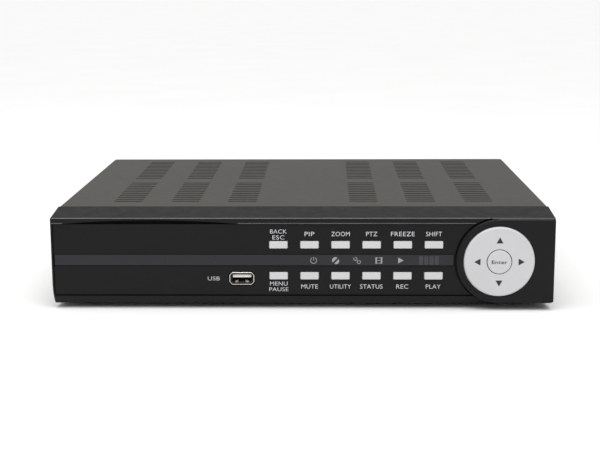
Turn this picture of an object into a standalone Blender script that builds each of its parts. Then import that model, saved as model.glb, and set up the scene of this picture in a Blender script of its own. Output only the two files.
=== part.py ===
"""Four-channel video recorder: steel tray and cover, moulded front, keys, dial, boards and rear sockets.

Metres. X runs to the right seen from the front, -Y is the front, +Z is up.
The origin lies under the middle of the whole recorder, on the surface that it stands on.
Heights are given above the bezel's bottom edge and depths behind the bezel's front plane.
"""

from math import cos, pi, radians, sin, sqrt

import bmesh
import bpy
from mathutils import Matrix, Vector

# Fits
GAP = 0.0003
RUNNING = 0.0004
SEAT = 0.0006

# Sides of round shapes
LARGE_ROUND = 40
MEDIUM_ROUND = 24
PLAIN_ROUND = 20
SMALL_ROUND = 16
TINY_ROUND = 12
LEAST_ROUND = 8
HEX = 6

# Bezel and cover
UNIT_WIDTH = 0.300
UNIT_DEPTH = 0.2239
FACE_HEIGHT = 0.053
TOP_RISE = 0.0035
BEZEL_DEPTH = 0.0199
BEZEL_WALL = 0.002
FRONT_WALL = 0.006
CHIN_HEIGHT = 0.0135
CHIN_SETBACK = 0.0047
COVER_INSET = 0.001
COVER_WALL = 0.001
COVER_BEND = 0.0012
COVER_SKIRT = 0.001
COVER_LIP = 0.007
FOOT_DROP = 0.003

# Faceplate inlay and indicator window
PLATE_SINK = 0.0008
PLATE_THICK = 0.0016
PLATE_SIDE = 0.0015
PLATE_LOW = 0.0055
LEDGE_HEIGHT = 0.0038
WINDOW_HIGH = 0.0067
WINDOW_THICK = 0.0006
WINDOW_SINK = 0.0002
WINDOW_END_GAP = 0.0008

# Dial at the right end
DIAL_INSET = 0.033
MID_LIFT = 0.0009
BLOCK_PROUD = 0.0016
BLOCK_TOP_MARGIN = 0.0005
BLOCK_LOW = 0.0017
BLOCK_EDGE = 0.0012
BLOCK_LIP = 0.0026
RING_RADIUS = 0.021
RING_PROUD = 0.0012
RING_THICK = 0.0025
RING_LIP = 0.001
HUB_WALL = 0.0015
ENTER_RADIUS = 0.0071
ENTER_PROUD = 0.0003
RING_EDGE = 0.0012
RING_LIFT_ROOM = 0.0009
ENTER_EDGE = 0.0003
PLUNGER_INSET = 0.0045
POCKET_ROOM = 0.003
CARRIER_SHARE = 0.6
CARRIER_THICK = 0.0015
CARRIER_ARM = 0.002
CARRIER_ROOM = 0.0012
TILT_DEPTH = 0.0045

# Function keys
KEY_COLUMNS = 6
KEY_WIDTH = 0.0108
KEY_HIGH = 0.00426
KEY_PITCH = 0.01846
KEY_TO_DIAL = 0.0386
KEY_ROW_OFFSET = 0.00945
KEY_PROUD = 0.0012
KEY_FLANGE = 0.0009
KEY_FLANGE_THICK = 0.001
KEY_STEM = 0.003
KEY_EDGE = 0.0003
KEY_TRAVEL = 0.0007

# Switch mat and front board
BOARD_THICK = 0.0016
FRONT_BOARD_AT = 0.0128
MAT_THICK = 0.0015
DOME_HIGH = 0.002
DOME_RADIUS = 0.0024
FRONT_BOARD_ROOM = 0.003
FRONT_BOARD_PAST_USB = 0.012
FRONT_BOARD_PAST_RING = 0.0035

# Front USB socket
USB_TO_KEY = 0.0221
USB_DROP = 0.0113
USB_INNER_WIDE = 0.0124
USB_INNER_HIGH = 0.0051
USB_WALL = 0.0004
USB_FLARE = 0.0013
USB_FLARE_DEEP = 0.0008
USB_DEEP = 0.0118
TONGUE_THICK = 0.0018
TONGUE_LENGTH = 0.0088
TONGUE_SIDE_GAP = 0.0006
TONGUE_TOP_GAP = 0.0006
FLARE_CORNER = 0.0017

# Status lights and infrared eye
LIGHT_COUNT = 5
LIGHT_PITCH = 0.01295
LIGHT_FROM_KEY = 0.0209
LIGHT_RADIUS = 0.0014
EYE_FROM_LIGHT = 0.0168
EYE_RADIUS = 0.0025
EYE_BODY = 0.0064
LIGHT_BAR_HIGH = 0.0040
LIGHT_BAR_THICK = 0.002

# Tray, feet and screws
SHEET = 0.001
TRAY_FLANGE = 0.014
FOOT_RADIUS = 0.0065
FOOT_STEM = 0.002
FOOT_SIDE_INSET = 0.025
FOOT_END_INSET = 0.018
SCREW_RADIUS = 0.0015
SCREW_HEAD = 0.003
SCREW_HEAD_THICK = 0.0009
SCREW_LENGTH = 0.005
SIDE_SCREW_HEIGHT = 0.009
SCREW_END_INSET = 0.036
REAR_SCREW_INSET = 0.022
HOOK_WIDTH = 0.006
HOOK_THICK = 0.0016
HOOK_REACH = 0.004
HOOK_ROOT = 0.003
HOOK_SIDE_INSET = 0.030
HOOK_TOP_ROOM = 0.0015
POST_RADIUS = 0.003
POST_INSET = 0.006
CABLE_DOOR_MARGIN = 0.002
CABLE_DOOR_LOW = 0.008
CABLE_DOOR_HIGH = 0.022

# Cover slots
SLOT_LENGTH = 0.018
SLOT_WIDTH = 0.0026
SLOT_PITCH = 0.0071
SLOT_COLUMN_PITCH = 0.0356
SLOT_CENTRE_GAP = 0.0751
FRONT_SLOTS = 11
REAR_SLOTS = 12
FRONT_SLOTS_AT = 0.0181
REAR_SLOTS_END = 0.0154

# Boards, disk and cooling
STANDOFF = 0.006
MAIN_BOARD_DEEP = 0.086
SIDE_ROOM = 0.007
DISK_LENGTH = 0.147
DISK_WIDTH = 0.1016
DISK_HIGH = 0.0231
DISK_FRONT_ROOM = 0.006
DISK_LIFT = 0.0035
DISK_EDGE = 0.0015
DISK_BOARD_INSET = 0.014
DISK_BOARD_THICK = 0.0012
CHIP_SIDE = 0.022
CHIP_THICK = 0.0016
SINK_FROM_RIGHT = 0.080
SINK_FROM_FRONT = 0.030
CELL_FROM_RIGHT = 0.030
SINK_SIDE = 0.038
SINK_HIGH = 0.014
SINK_BASE = 0.003
SINK_FINS = 7
FIN_THICK = 0.0016
CELL_RADIUS = 0.010
CELL_THICK = 0.0032
FAN_SIDE = 0.040
FAN_DEEP = 0.010
FAN_WALL = 0.0012
FAN_HUB = 0.0105
FAN_BLADES = 7
FAN_SHAFT = 0.0016
FAN_LIFT = 0.004
FAN_SPOKE = 0.003
FAN_SPOKE_THICK = 0.0012
FAN_END_ROOM = 0.0008
BLADE_PITCH = radians(35)
BLADE_THICK = 0.0009
BLADE_DEEP = 0.0075
FAN_SLOT_COUNT = 7
FAN_SLOT_PITCH = 0.005
FAN_SLOT_WIDTH = 0.0026
RIBBON_FROM_DISK = 0.054
RIBBON_START_HEIGHT = 0.015
RIBBON_FLOOR_HEIGHT = 0.0042
RIBBON_OVER_BOARD = 0.003
SATA_BEND = 0.008
RIBBON_WIDE = 0.020
RIBBON_THICK = 0.001
SATA_WIDE = 0.008
SATA_THICK = 0.0016

# Rear sockets
BNC_BLOCK = 0.0145
BNC_DEEP = 0.016
BNC_REACH = 0.013
BNC_BARREL = 0.0048
BNC_BORE = 0.0040
BNC_CORE = 0.0024
BNC_COLLAR = 0.0058
BNC_COLLAR_REACH = 0.003
BNC_ROW_PITCH = 0.0165
BNC_BORE_DEEP = 0.008
BNC_CORE_SET = 0.002
PHONO_BLOCK = 0.0112
PHONO_DEEP = 0.012
PHONO_REACH = 0.009
PHONO_BARREL = 0.0041
PHONO_BORE = 0.0016
PHONO_COLLAR = 0.0054
PHONO_ROW_PITCH = 0.014
VGA_WIDE = 0.0308
VGA_HIGH = 0.0125
VGA_SHELL_WIDE = 0.0163
VGA_SHELL_HIGH = 0.0079
VGA_REACH = 0.006
VGA_DEEP = 0.012
VGA_SLANT = 0.0012
VGA_POST_AT = 0.0125
VGA_POST = 0.0024
VGA_POST_REACH = 0.005
LAN_WIDE = 0.016
LAN_HIGH = 0.0135
LAN_DEEP = 0.018
LAN_REACH = 0.001
LAN_HOLE_WIDE = 0.0118
LAN_HOLE_HIGH = 0.0068
LAN_HOLE_DEEP = 0.012
REAR_USB_WIDE = 0.0132
REAR_USB_HIGH = 0.0059
JACK_SIDE = 0.0092
JACK_HIGH = 0.011
JACK_DEEP = 0.013
JACK_BORE = 0.0032
JACK_PIN = 0.001
TERMINAL_WAYS = 6
TERMINAL_PITCH = 0.0038
TERMINAL_HIGH = 0.0105
TERMINAL_DEEP = 0.010
TERMINAL_REACH = 0.002
SWITCH_WIDE = 0.0130
SWITCH_HIGH = 0.0190
SWITCH_DEEP = 0.014
SWITCH_RIM = 0.0012
SWITCH_RIM_THICK = 0.0014
SWITCH_LIFT = 0.007
ROCKER_WALL = 0.00125
ROCKER_HALF_HIGH = 0.0072
ROCKER_PROUD = 0.0046
ROCKER_DIP = 0.0017
ROCKER_CAVITY = 0.0045
ROCKER_TILT = radians(9)

# Places that follow from the sizes above
HALF_WIDTH = UNIT_WIDTH / 2
FOREMOST = BLOCK_PROUD + RING_PROUD + ENTER_PROUD
FRONT_Y = -(UNIT_DEPTH + BNC_REACH - FOREMOST) / 2
MID_HEIGHT = FACE_HEIGHT / 2 + MID_LIFT
TOP_SLOPE = TOP_RISE / (BEZEL_DEPTH + GAP)
DIAL_X = HALF_WIDTH - DIAL_INSET
BLOCK_RADIUS = (FACE_HEIGHT - BLOCK_TOP_MARGIN - BLOCK_LOW) / 2
DIAL_HEIGHT = BLOCK_LOW + BLOCK_RADIUS
CHIN_RADIUS = (CHIN_HEIGHT**2 + CHIN_SETBACK**2) / (2 * CHIN_SETBACK)
COVER_TOP = FACE_HEIGHT + TOP_RISE
COVER_HALF = HALF_WIDTH - COVER_INSET
COVER_FRONT = BEZEL_DEPTH + GAP
TRAY_FRONT = COVER_FRONT + GAP
TRAY_HALF = COVER_HALF - COVER_WALL - GAP
TRAY_BOTTOM = COVER_SKIRT
TRAY_FLOOR = TRAY_BOTTOM + SHEET
TRAY_TOP = COVER_TOP - COVER_WALL - GAP
REAR_FACE = UNIT_DEPTH - COVER_WALL - GAP
REAR_INSIDE = REAR_FACE - SHEET
PLATE_TOP = FACE_HEIGHT - LEDGE_HEIGHT
PLATE_BACK = PLATE_SINK + PLATE_THICK
WINDOW_FRONT = PLATE_SINK + WINDOW_SINK
WINDOW_BACK = WINDOW_FRONT + WINDOW_THICK
WINDOW_RIGHT = DIAL_X - BLOCK_RADIUS - 2 * GAP - WINDOW_END_GAP
BLOCK_BACK = BLOCK_LIP - BLOCK_PROUD
POCKET_RADIUS = RING_RADIUS + POCKET_ROOM
PLUNGER_AT = RING_RADIUS - PLUNGER_INSET
LAST_KEY_X = DIAL_X - KEY_TO_DIAL
FIRST_KEY_X = LAST_KEY_X - KEY_PITCH * (KEY_COLUMNS - 1)
UPPER_ROW = MID_HEIGHT + KEY_ROW_OFFSET
LOWER_ROW = MID_HEIGHT - KEY_ROW_OFFSET
USB_X = FIRST_KEY_X - USB_TO_KEY
USB_HEIGHT = MID_HEIGHT - USB_DROP
LIGHTS_X = [FIRST_KEY_X + LIGHT_FROM_KEY + LIGHT_PITCH * i for i in range(LIGHT_COUNT)]
EYE_X = LIGHTS_X[-1] + EYE_FROM_LIGHT
MAT_BACK = FRONT_BOARD_AT - GAP
MAT_FRONT = MAT_BACK - MAT_THICK
DOME_TOP = MAT_FRONT - DOME_HIGH
STEM_END = DOME_TOP - KEY_TRAVEL - GAP
FRONT_BOARD_LEFT = USB_X - FRONT_BOARD_PAST_USB
FRONT_BOARD_RIGHT = DIAL_X + RING_RADIUS + FRONT_BOARD_PAST_RING
FRONT_BOARD_LOW = BEZEL_WALL + FRONT_BOARD_ROOM
FRONT_BOARD_TOP = FACE_HEIGHT - BEZEL_WALL - FRONT_BOARD_ROOM
HOOKS_X = [-HALF_WIDTH + HOOK_SIDE_INSET, HALF_WIDTH - HOOK_SIDE_INSET]
LOW_HOOK = TRAY_FLOOR + SEAT
HIGH_HOOK = FACE_HEIGHT - HOOK_TOP_ROOM - HOOK_THICK
BOARD_LOW = TRAY_FLOOR + STANDOFF
BOARD_TOP = BOARD_LOW + BOARD_THICK
BOARD_FRONT = REAR_INSIDE - GAP - MAIN_BOARD_DEEP
BOARD_RIGHT = TRAY_HALF - SIDE_ROOM
FAN_X = -TRAY_HALF + SIDE_ROOM + FAN_SIDE / 2
BOARD_LEFT = FAN_X + FAN_SIDE / 2 + SIDE_ROOM
FAN_HEIGHT = TRAY_FLOOR + FAN_LIFT + FAN_SIDE / 2
FAN_MOUTH = FAN_SIDE / 2 - FAN_WALL
FAN_BACK = REAR_INSIDE - GAP
FAN_FRONT = FAN_BACK - FAN_DEEP
DISK_LEFT = -TRAY_HALF + SIDE_ROOM
DISK_RIGHT = DISK_LEFT + DISK_LENGTH
DISK_FRONT = TRAY_FRONT + SHEET + DISK_FRONT_ROOM
DISK_BACK = DISK_FRONT + DISK_WIDTH
DISK_LOW = TRAY_FLOOR + DISK_LIFT
RIBBON_X = DISK_RIGHT + RIBBON_FROM_DISK
FOOT_PLACES = [
    (side * (HALF_WIDTH - FOOT_SIDE_INSET), depth)
    for side in (-1, 1)
    for depth in (TRAY_FRONT + FOOT_END_INSET, REAR_FACE - FOOT_END_INSET)
]
FOOT_NAMES = ["foot_left_front", "foot_left_back", "foot_right_front", "foot_right_back"]
SIDE_SCREWS = [TRAY_FRONT + SCREW_END_INSET, UNIT_DEPTH - SCREW_END_INSET]
REAR_SCREWS_X = [REAR_SCREW_INSET - HALF_WIDTH, HALF_WIDTH - REAR_SCREW_INSET]
REAR_SCREW_HEIGHT = COVER_TOP - COVER_LIP / 2
SLOT_COLUMNS_X = [
    side * (SLOT_CENTRE_GAP / 2 + SLOT_COLUMN_PITCH * i) for side in (-1, 1) for i in range(3)
]
KEY_PLACES = [
    (FIRST_KEY_X + KEY_PITCH * i, height) for height in (UPPER_ROW, LOWER_ROW) for i in range(KEY_COLUMNS)
]
KEY_NAMES = ["key_back", "key_pip", "key_zoom", "key_ptz", "key_freeze", "key_sequence"]
KEY_NAMES += ["key_menu", "key_mute", "key_utility", "key_status", "key_record", "key_play"]

# The rear sockets share the main board's width, with equal spaces between them
TERMINAL_WIDE = TERMINAL_PITCH * (TERMINAL_WAYS + 0.5)
SOCKET_WIDTHS = [SWITCH_WIDE + 2 * SWITCH_RIM, JACK_SIDE, TERMINAL_WIDE, REAR_USB_WIDE, LAN_WIDE]
SOCKET_WIDTHS += [VGA_WIDE, PHONO_BLOCK, BNC_BLOCK, BNC_BLOCK, BNC_BLOCK]
SOCKET_SPACE = (BOARD_RIGHT - BOARD_LEFT - sum(SOCKET_WIDTHS)) / (len(SOCKET_WIDTHS) + 1)
SOCKETS_X = [
    BOARD_LEFT + SOCKET_SPACE * (i + 1) + sum(SOCKET_WIDTHS[:i]) + width / 2
    for i, width in enumerate(SOCKET_WIDTHS)
]
SWITCH_X, JACK_X, TERMINAL_X, REAR_USB_X, LAN_X, VGA_X, PHONO_X, OUT_X, INNER_X, OUTER_X = SOCKETS_X
SOCKET_BASE = BOARD_TOP + GAP
SWITCH_HEIGHT = SOCKET_BASE + SWITCH_LIFT + SWITCH_HIGH / 2
JACK_HEIGHT = SOCKET_BASE + JACK_HIGH / 2
TERMINAL_HEIGHT = SOCKET_BASE + TERMINAL_HIGH / 2
REAR_USB_HEIGHT = SOCKET_BASE + REAR_USB_HIGH / 2
LAN_HEIGHT = SOCKET_BASE + LAN_HIGH / 2
VGA_HEIGHT = SOCKET_BASE + VGA_HIGH / 2
PHONO_HEIGHTS = [SOCKET_BASE + PHONO_BLOCK / 2 + PHONO_ROW_PITCH * i for i in range(2)]
BNC_LOW = SOCKET_BASE + BNC_BLOCK / 2
BNC_PLACES = [(x, BNC_LOW + BNC_ROW_PITCH * i) for x in (OUTER_X, INNER_X) for i in (1, 0)]
BNC_PLACES.append((OUT_X, BNC_LOW))
BNC_NAMES = ["video_in_1", "video_in_2", "video_in_3", "video_in_4", "video_out"]


def behind(depth):
    return FRONT_Y + depth


def above(height):
    return FOOT_DROP + height


def place(x, depth, height):
    return Vector((x, behind(depth), above(height)))


def chin(height):
    """Depth of the bezel's front surface at this height: flat, then an arc that runs back to the bottom."""
    drop = max(0.0, CHIN_HEIGHT - height)
    return CHIN_RADIUS - sqrt(CHIN_RADIUS**2 - drop**2)


# Mesh helpers


def object_from(name, mesh_data):
    bmesh.ops.recalc_face_normals(mesh_data, faces=mesh_data.faces)
    mesh = bpy.data.meshes.new(name)
    mesh_data.to_mesh(mesh)
    mesh_data.free()
    piece = bpy.data.objects.new(name, mesh)
    bpy.context.scene.collection.objects.link(piece)
    return piece


def add_box(mesh_data, low, high):
    low = Vector(low)
    high = Vector(high)
    size = high - low
    matrix = Matrix.Translation((low + high) / 2) @ Matrix.Diagonal((size.x, size.y, size.z, 1))
    bmesh.ops.create_cube(mesh_data, size=1, matrix=matrix)


def box(name, low, high):
    """A block between two corners, each given as x, depth and height."""
    return boxes(name, [(low, high)])


def boxes(name, corners):
    mesh_data = bmesh.new()
    for low, high in corners:
        add_box(mesh_data, place(*low), place(*high))
    return object_from(name, mesh_data)


def add_prism(mesh_data, outline, start, end, axis):
    """An outline of x and height (axis Y), depth and height (axis X) or x and depth (axis Z), extruded."""
    order = {"X": (2, 0, 1), "Y": (0, 2, 1), "Z": (0, 1, 2)}[axis]

    def corner(u, v, along):
        values = (u, v, along)
        return place(*(values[i] for i in order))

    first = [mesh_data.verts.new(corner(u, v, start)) for u, v in outline]
    last = [mesh_data.verts.new(corner(u, v, end)) for u, v in outline]
    mesh_data.faces.new(first)
    mesh_data.faces.new(last)
    for i in range(len(outline)):
        after = (i + 1) % len(outline)
        mesh_data.faces.new((first[i], first[after], last[after], last[i]))


def prism(name, outline, start, end, axis):
    mesh_data = bmesh.new()
    add_prism(mesh_data, outline, start, end, axis)
    return object_from(name, mesh_data)


def add_turned(mesh_data, profile, centre, axis, sides):
    """A profile of radius and distance, from axis to axis, turned about a line through the centre."""
    turn = {
        "X": Matrix.Rotation(pi / 2, 4, "Y"),
        "Y": Matrix.Rotation(-pi / 2, 4, "X"),
        "Z": Matrix.Identity(4),
    }[axis]
    matrix = Matrix.Translation(place(*centre)) @ turn
    rings = []
    for radius, along in profile:
        if radius == 0:
            rings.append([mesh_data.verts.new(matrix @ Vector((0, 0, along)))])
            continue
        angles = [2 * pi * (i + 0.5) / sides for i in range(sides)]
        ring = [Vector((radius * cos(a), radius * sin(a), along)) for a in angles]
        rings.append([mesh_data.verts.new(matrix @ point) for point in ring])
    for ring, following in zip(rings, rings[1:]):
        for i in range(sides):
            after = (i + 1) % sides
            corners = [ring[i % len(ring)], ring[after % len(ring)]]
            corners += [following[after % len(following)], following[i % len(following)]]
            mesh_data.faces.new(dict.fromkeys(corners))


def turned(name, profile, centre, axis="Y", sides=PLAIN_ROUND):
    mesh_data = bmesh.new()
    add_turned(mesh_data, profile, centre, axis, sides)
    return round_shaded(object_from(name, mesh_data))


def cylinders(name, radius, start, end, centres, axis="Y", sides=SMALL_ROUND):
    mesh_data = bmesh.new()
    profile = [(0, start), (radius, start), (radius, end), (0, end)]
    for centre in centres:
        add_turned(mesh_data, profile, centre, axis, sides)
    return object_from(name, mesh_data)


def cylinder(name, radius, start, end, centre, axis="Y", sides=SMALL_ROUND):
    return cylinders(name, radius, start, end, [centre], axis, sides)


def round_shaded(piece):
    piece.data.shade_smooth()
    piece.data.set_sharp_from_angle(angle=radians(35))
    return piece


def combine(piece, helper, operation):
    modifier = piece.modifiers.new(helper.name, "BOOLEAN")
    modifier.operation = operation
    modifier.object = helper
    helper.hide_render = True
    helper.display_type = "WIRE"
    return piece


def cut(piece, *cutters):
    for cutter in cutters:
        combine(piece, cutter, "DIFFERENCE")
    return piece


def add(piece, *shapes):
    for shape in shapes:
        combine(piece, shape, "UNION")
    return piece


def bevelled(piece, width, segments=2):
    modifier = piece.modifiers.new("edge", "BEVEL")
    modifier.width = width
    modifier.segments = segments
    modifier.limit_method = "ANGLE"
    modifier.angle_limit = radians(40)
    return piece


def finish(piece, colour, roughness, metallic=0.0):
    material = bpy.data.materials.new(piece.name)
    material.use_nodes = True
    shader = material.node_tree.nodes["Principled BSDF"]
    shader.inputs["Base Color"].default_value = (*colour, 1)
    shader.inputs["Roughness"].default_value = roughness
    shader.inputs["Metallic"].default_value = metallic
    piece.data.materials.append(material)
    return piece


BLACK_PLASTIC = (0.024, 0.024, 0.025)
GLOSS_BLACK = (0.012, 0.012, 0.013)
SMOKED = (0.04, 0.04, 0.044)
KEY_GREY = (0.68, 0.68, 0.69)
STEEL_BLACK = (0.105, 0.10, 0.09)
BARE_METAL = (0.62, 0.62, 0.60)
BOARD_GREEN = (0.015, 0.10, 0.045)
RUBBER = (0.015, 0.015, 0.015)
IVORY = (0.75, 0.70, 0.55)
CLEAR = (0.8, 0.8, 0.8)


# Front pieces


def chin_line(offset, low, top, steps=6):
    """Points (depth, height) up the bezel's curved front, moved back by an offset."""
    heights = [low + (CHIN_HEIGHT - low) * i / steps for i in range(steps + 1)]
    return [(chin(h) + offset, h) for h in heights] + [(offset, top)]


def roof_height(depth):
    """Underside of the bezel's sloping top."""
    return FACE_HEIGHT + TOP_SLOPE * depth - BEZEL_WALL


def make_front_bezel():
    outer = chin_line(0, 0, FACE_HEIGHT)
    outer += [(BEZEL_DEPTH, FACE_HEIGHT + TOP_SLOPE * BEZEL_DEPTH), (BEZEL_DEPTH, 0)]
    bezel = prism("front_bezel", outer, -HALF_WIDTH, HALF_WIDTH, "X")
    side = HALF_WIDTH - BEZEL_WALL
    back = BEZEL_DEPTH + 2 * GAP
    hollow_outline = [(depth, roof_height(depth)) for depth in (FRONT_WALL, back)]
    hollow_outline += [(back, BEZEL_WALL), (FRONT_WALL, BEZEL_WALL)]
    hollow = prism("bezel_hollow", hollow_outline, -side, side, "X")

    around = [pi / 2, *arc(94.5, 265.5, 19), 3 * pi / 2]
    block_outline = [(DIAL_X + BLOCK_RADIUS * cos(a), DIAL_HEIGHT + BLOCK_RADIUS * sin(a)) for a in around]
    block_outline += [(HALF_WIDTH, BLOCK_LOW), (HALF_WIDTH, FACE_HEIGHT - BLOCK_TOP_MARGIN)]
    block = prism("dial_block", block_outline, -BLOCK_PROUD, FRONT_WALL - SEAT, "Y")
    bevelled(block, BLOCK_EDGE, 2)

    recess_left = -HALF_WIDTH + PLATE_SIDE - GAP
    inner = chin_line(PLATE_BACK + GAP, PLATE_LOW - GAP, PLATE_TOP + GAP)
    recess_outline = inner + [(-FRONT_WALL, PLATE_TOP + GAP), (-FRONT_WALL, PLATE_LOW - GAP)]
    recess = prism("plate_recess", recess_outline, recess_left, DIAL_X, "X")
    dial = (DIAL_X, 0, DIAL_HEIGHT)
    span = 2 * FRONT_WALL
    cut(recess, cylinder("recess_arc", BLOCK_RADIUS + GAP, -span, span, dial, sides=LARGE_ROUND))

    rows = KEY_ROW_OFFSET + KEY_HIGH / 2 + KEY_FLANGE + SEAT
    key_low = (FIRST_KEY_X - KEY_WIDTH / 2 - KEY_FLANGE - SEAT, 0, MID_HEIGHT - rows)
    key_high = (LAST_KEY_X + KEY_WIDTH / 2 + KEY_FLANGE + SEAT, FRONT_WALL + GAP, MID_HEIGHT + rows)
    key_window = box("key_window", key_low, key_high)

    usb_window = prism("usb_window", flared(USB_FLARE + SEAT, FLARE_CORNER), 0, FRONT_WALL + GAP, "Y")
    around = {"centre": dial, "sides": LARGE_ROUND}
    bore = cylinder("dial_bore", RING_RADIUS + RUNNING, -2 * BLOCK_PROUD, BLOCK_BACK + GAP, **around)
    back_face = FRONT_WALL + GAP
    pocket = cylinder("dial_pocket", POCKET_RADIUS, BLOCK_BACK, back_face, dial, sides=LARGE_ROUND)
    add(bezel, block)
    cut(bezel, hollow, recess, key_window, usb_window, bore, pocket)
    add(bezel, make_bezel_hooks())
    return finish(bezel, BLACK_PLASTIC, 0.42)


def arc(first, last, steps):
    return [radians(first + (last - first) * i / steps) for i in range(steps + 1)]


def make_bezel_hooks():
    """Snap hooks on the bezel's floor and roof, reaching back through the tray's front wall."""
    root = BEZEL_DEPTH - HOOK_ROOT
    back = BEZEL_DEPTH - GAP
    reach = TRAY_FRONT + SHEET + HOOK_REACH
    half = HOOK_WIDTH / 2
    low_top = LOW_HOOK + HOOK_THICK
    low = [(root, BEZEL_WALL / 2), (root, low_top), (reach, low_top), (reach, LOW_HOOK), (back, LOW_HOOK)]
    low.append((back, BEZEL_WALL / 2))
    roof = roof_height(root) + BEZEL_WALL / 2
    high_top = HIGH_HOOK + HOOK_THICK
    high = [(root, roof), (root, HIGH_HOOK), (reach, HIGH_HOOK), (reach, high_top), (back, high_top)]
    high.append((back, roof))
    mesh_data = bmesh.new()
    for x in HOOKS_X:
        for outline in (low, high):
            add_prism(mesh_data, outline, x - half, x + half, "X")
    return object_from("bezel_hooks", mesh_data)


def make_faceplate():
    front = chin_line(PLATE_SINK, PLATE_LOW, PLATE_TOP)
    rear = chin_line(PLATE_BACK, PLATE_LOW, PLATE_TOP)
    plate = prism("faceplate", front + rear[::-1], -HALF_WIDTH + PLATE_SIDE, DIAL_X, "X")
    dial = (DIAL_X, 0, DIAL_HEIGHT)
    rim = BLOCK_RADIUS + 2 * GAP
    reach = cylinder("plate_arc", rim, -FRONT_WALL, 2 * FRONT_WALL, dial, sides=LARGE_ROUND)

    groove_half = WINDOW_HIGH / 2 + GAP
    groove_low = (-HALF_WIDTH, 0, MID_HEIGHT - groove_half)
    groove_high = (WINDOW_RIGHT + GAP, WINDOW_BACK + GAP, MID_HEIGHT + groove_half)
    groove = box("window_groove", groove_low, groove_high)

    lights = [(x, 0, MID_HEIGHT) for x in LIGHTS_X]
    light_holes = cylinders("light_holes", LIGHT_RADIUS + RUNNING, 0, FRONT_WALL, lights, sides=LEAST_ROUND)
    eye = (EYE_X, 0, MID_HEIGHT)
    eye_hole = cylinder("eye_hole", EYE_RADIUS + RUNNING, 0, FRONT_WALL, eye, sides=SMALL_ROUND)

    holes = []
    for x, height in KEY_PLACES:
        half = KEY_WIDTH / 2 + RUNNING
        tall = KEY_HIGH / 2 + RUNNING
        holes.append(((x - half, 0, height - tall), (x + half, FRONT_WALL, height + tall)))
    key_holes = boxes("key_holes", holes)

    usb_outline = flared(USB_FLARE + RUNNING, FLARE_CORNER)
    usb_hole = prism("usb_hole", usb_outline, 0, FRONT_WALL, "Y")
    cut(plate, reach, groove, light_holes, eye_hole, key_holes, usb_hole)
    return finish(plate, GLOSS_BLACK, 0.3)


def flared(margin, corner):
    """The socket's outline, grown by a margin, with its corners cut off."""
    wide = USB_INNER_WIDE / 2 + margin
    high = USB_INNER_HIGH / 2 + margin
    points = [(wide - corner, high), (wide, high - corner), (wide, corner - high), (wide - corner, -high)]
    points += [(-x, z) for x, z in reversed(points)]
    return [(USB_X + x, USB_HEIGHT + z) for x, z in points]


def make_indicator_window():
    low = (-HALF_WIDTH + PLATE_SIDE + GAP, WINDOW_FRONT, MID_HEIGHT - WINDOW_HIGH / 2)
    high = (WINDOW_RIGHT, WINDOW_BACK, MID_HEIGHT + WINDOW_HIGH / 2)
    return finish(box("indicator_window", low, high), SMOKED, 0.25)


def make_key(name, x, height):
    """A cap that stands out of the faceplate, a flange that keeps it in, and a stem to its switch."""
    half = KEY_WIDTH / 2
    tall = KEY_HIGH / 2
    cap_back = PLATE_BACK + GAP + KEY_FLANGE_THICK / 2
    key = box(name, (x - half, PLATE_SINK - KEY_PROUD, height - tall), (x + half, cap_back, height + tall))
    bevelled(key, KEY_EDGE, 1)
    flange_low = (x - half - KEY_FLANGE, PLATE_BACK + GAP, height - tall - KEY_FLANGE)
    flange_high = (x + half + KEY_FLANGE, PLATE_BACK + GAP + KEY_FLANGE_THICK, height + tall + KEY_FLANGE)
    flange = box(name + "_flange", flange_low, flange_high)
    stem_low = (x - KEY_STEM / 2, PLATE_BACK + GAP, height - KEY_STEM / 2)
    stem_high = (x + KEY_STEM / 2, STEM_END, height + KEY_STEM / 2)
    add(key, flange, box(name + "_stem", stem_low, stem_high))
    return finish(key, KEY_GREY, 0.45)


def make_enter_key():
    front = -BLOCK_PROUD - RING_PROUD - ENTER_PROUD
    shoulder = PLATE_BACK + GAP
    profile = [
        (0, front),
        (ENTER_RADIUS - ENTER_EDGE, front),
        (ENTER_RADIUS, front + ENTER_EDGE),
        (ENTER_RADIUS, shoulder),
        (KEY_STEM / 2, shoulder + KEY_FLANGE_THICK),
        (KEY_STEM / 2, STEM_END),
        (0, STEM_END),
    ]
    key = turned("enter_key", profile, (DIAL_X, 0, DIAL_HEIGHT), sides=MEDIUM_ROUND)
    return finish(key, KEY_GREY, 0.4)


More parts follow.
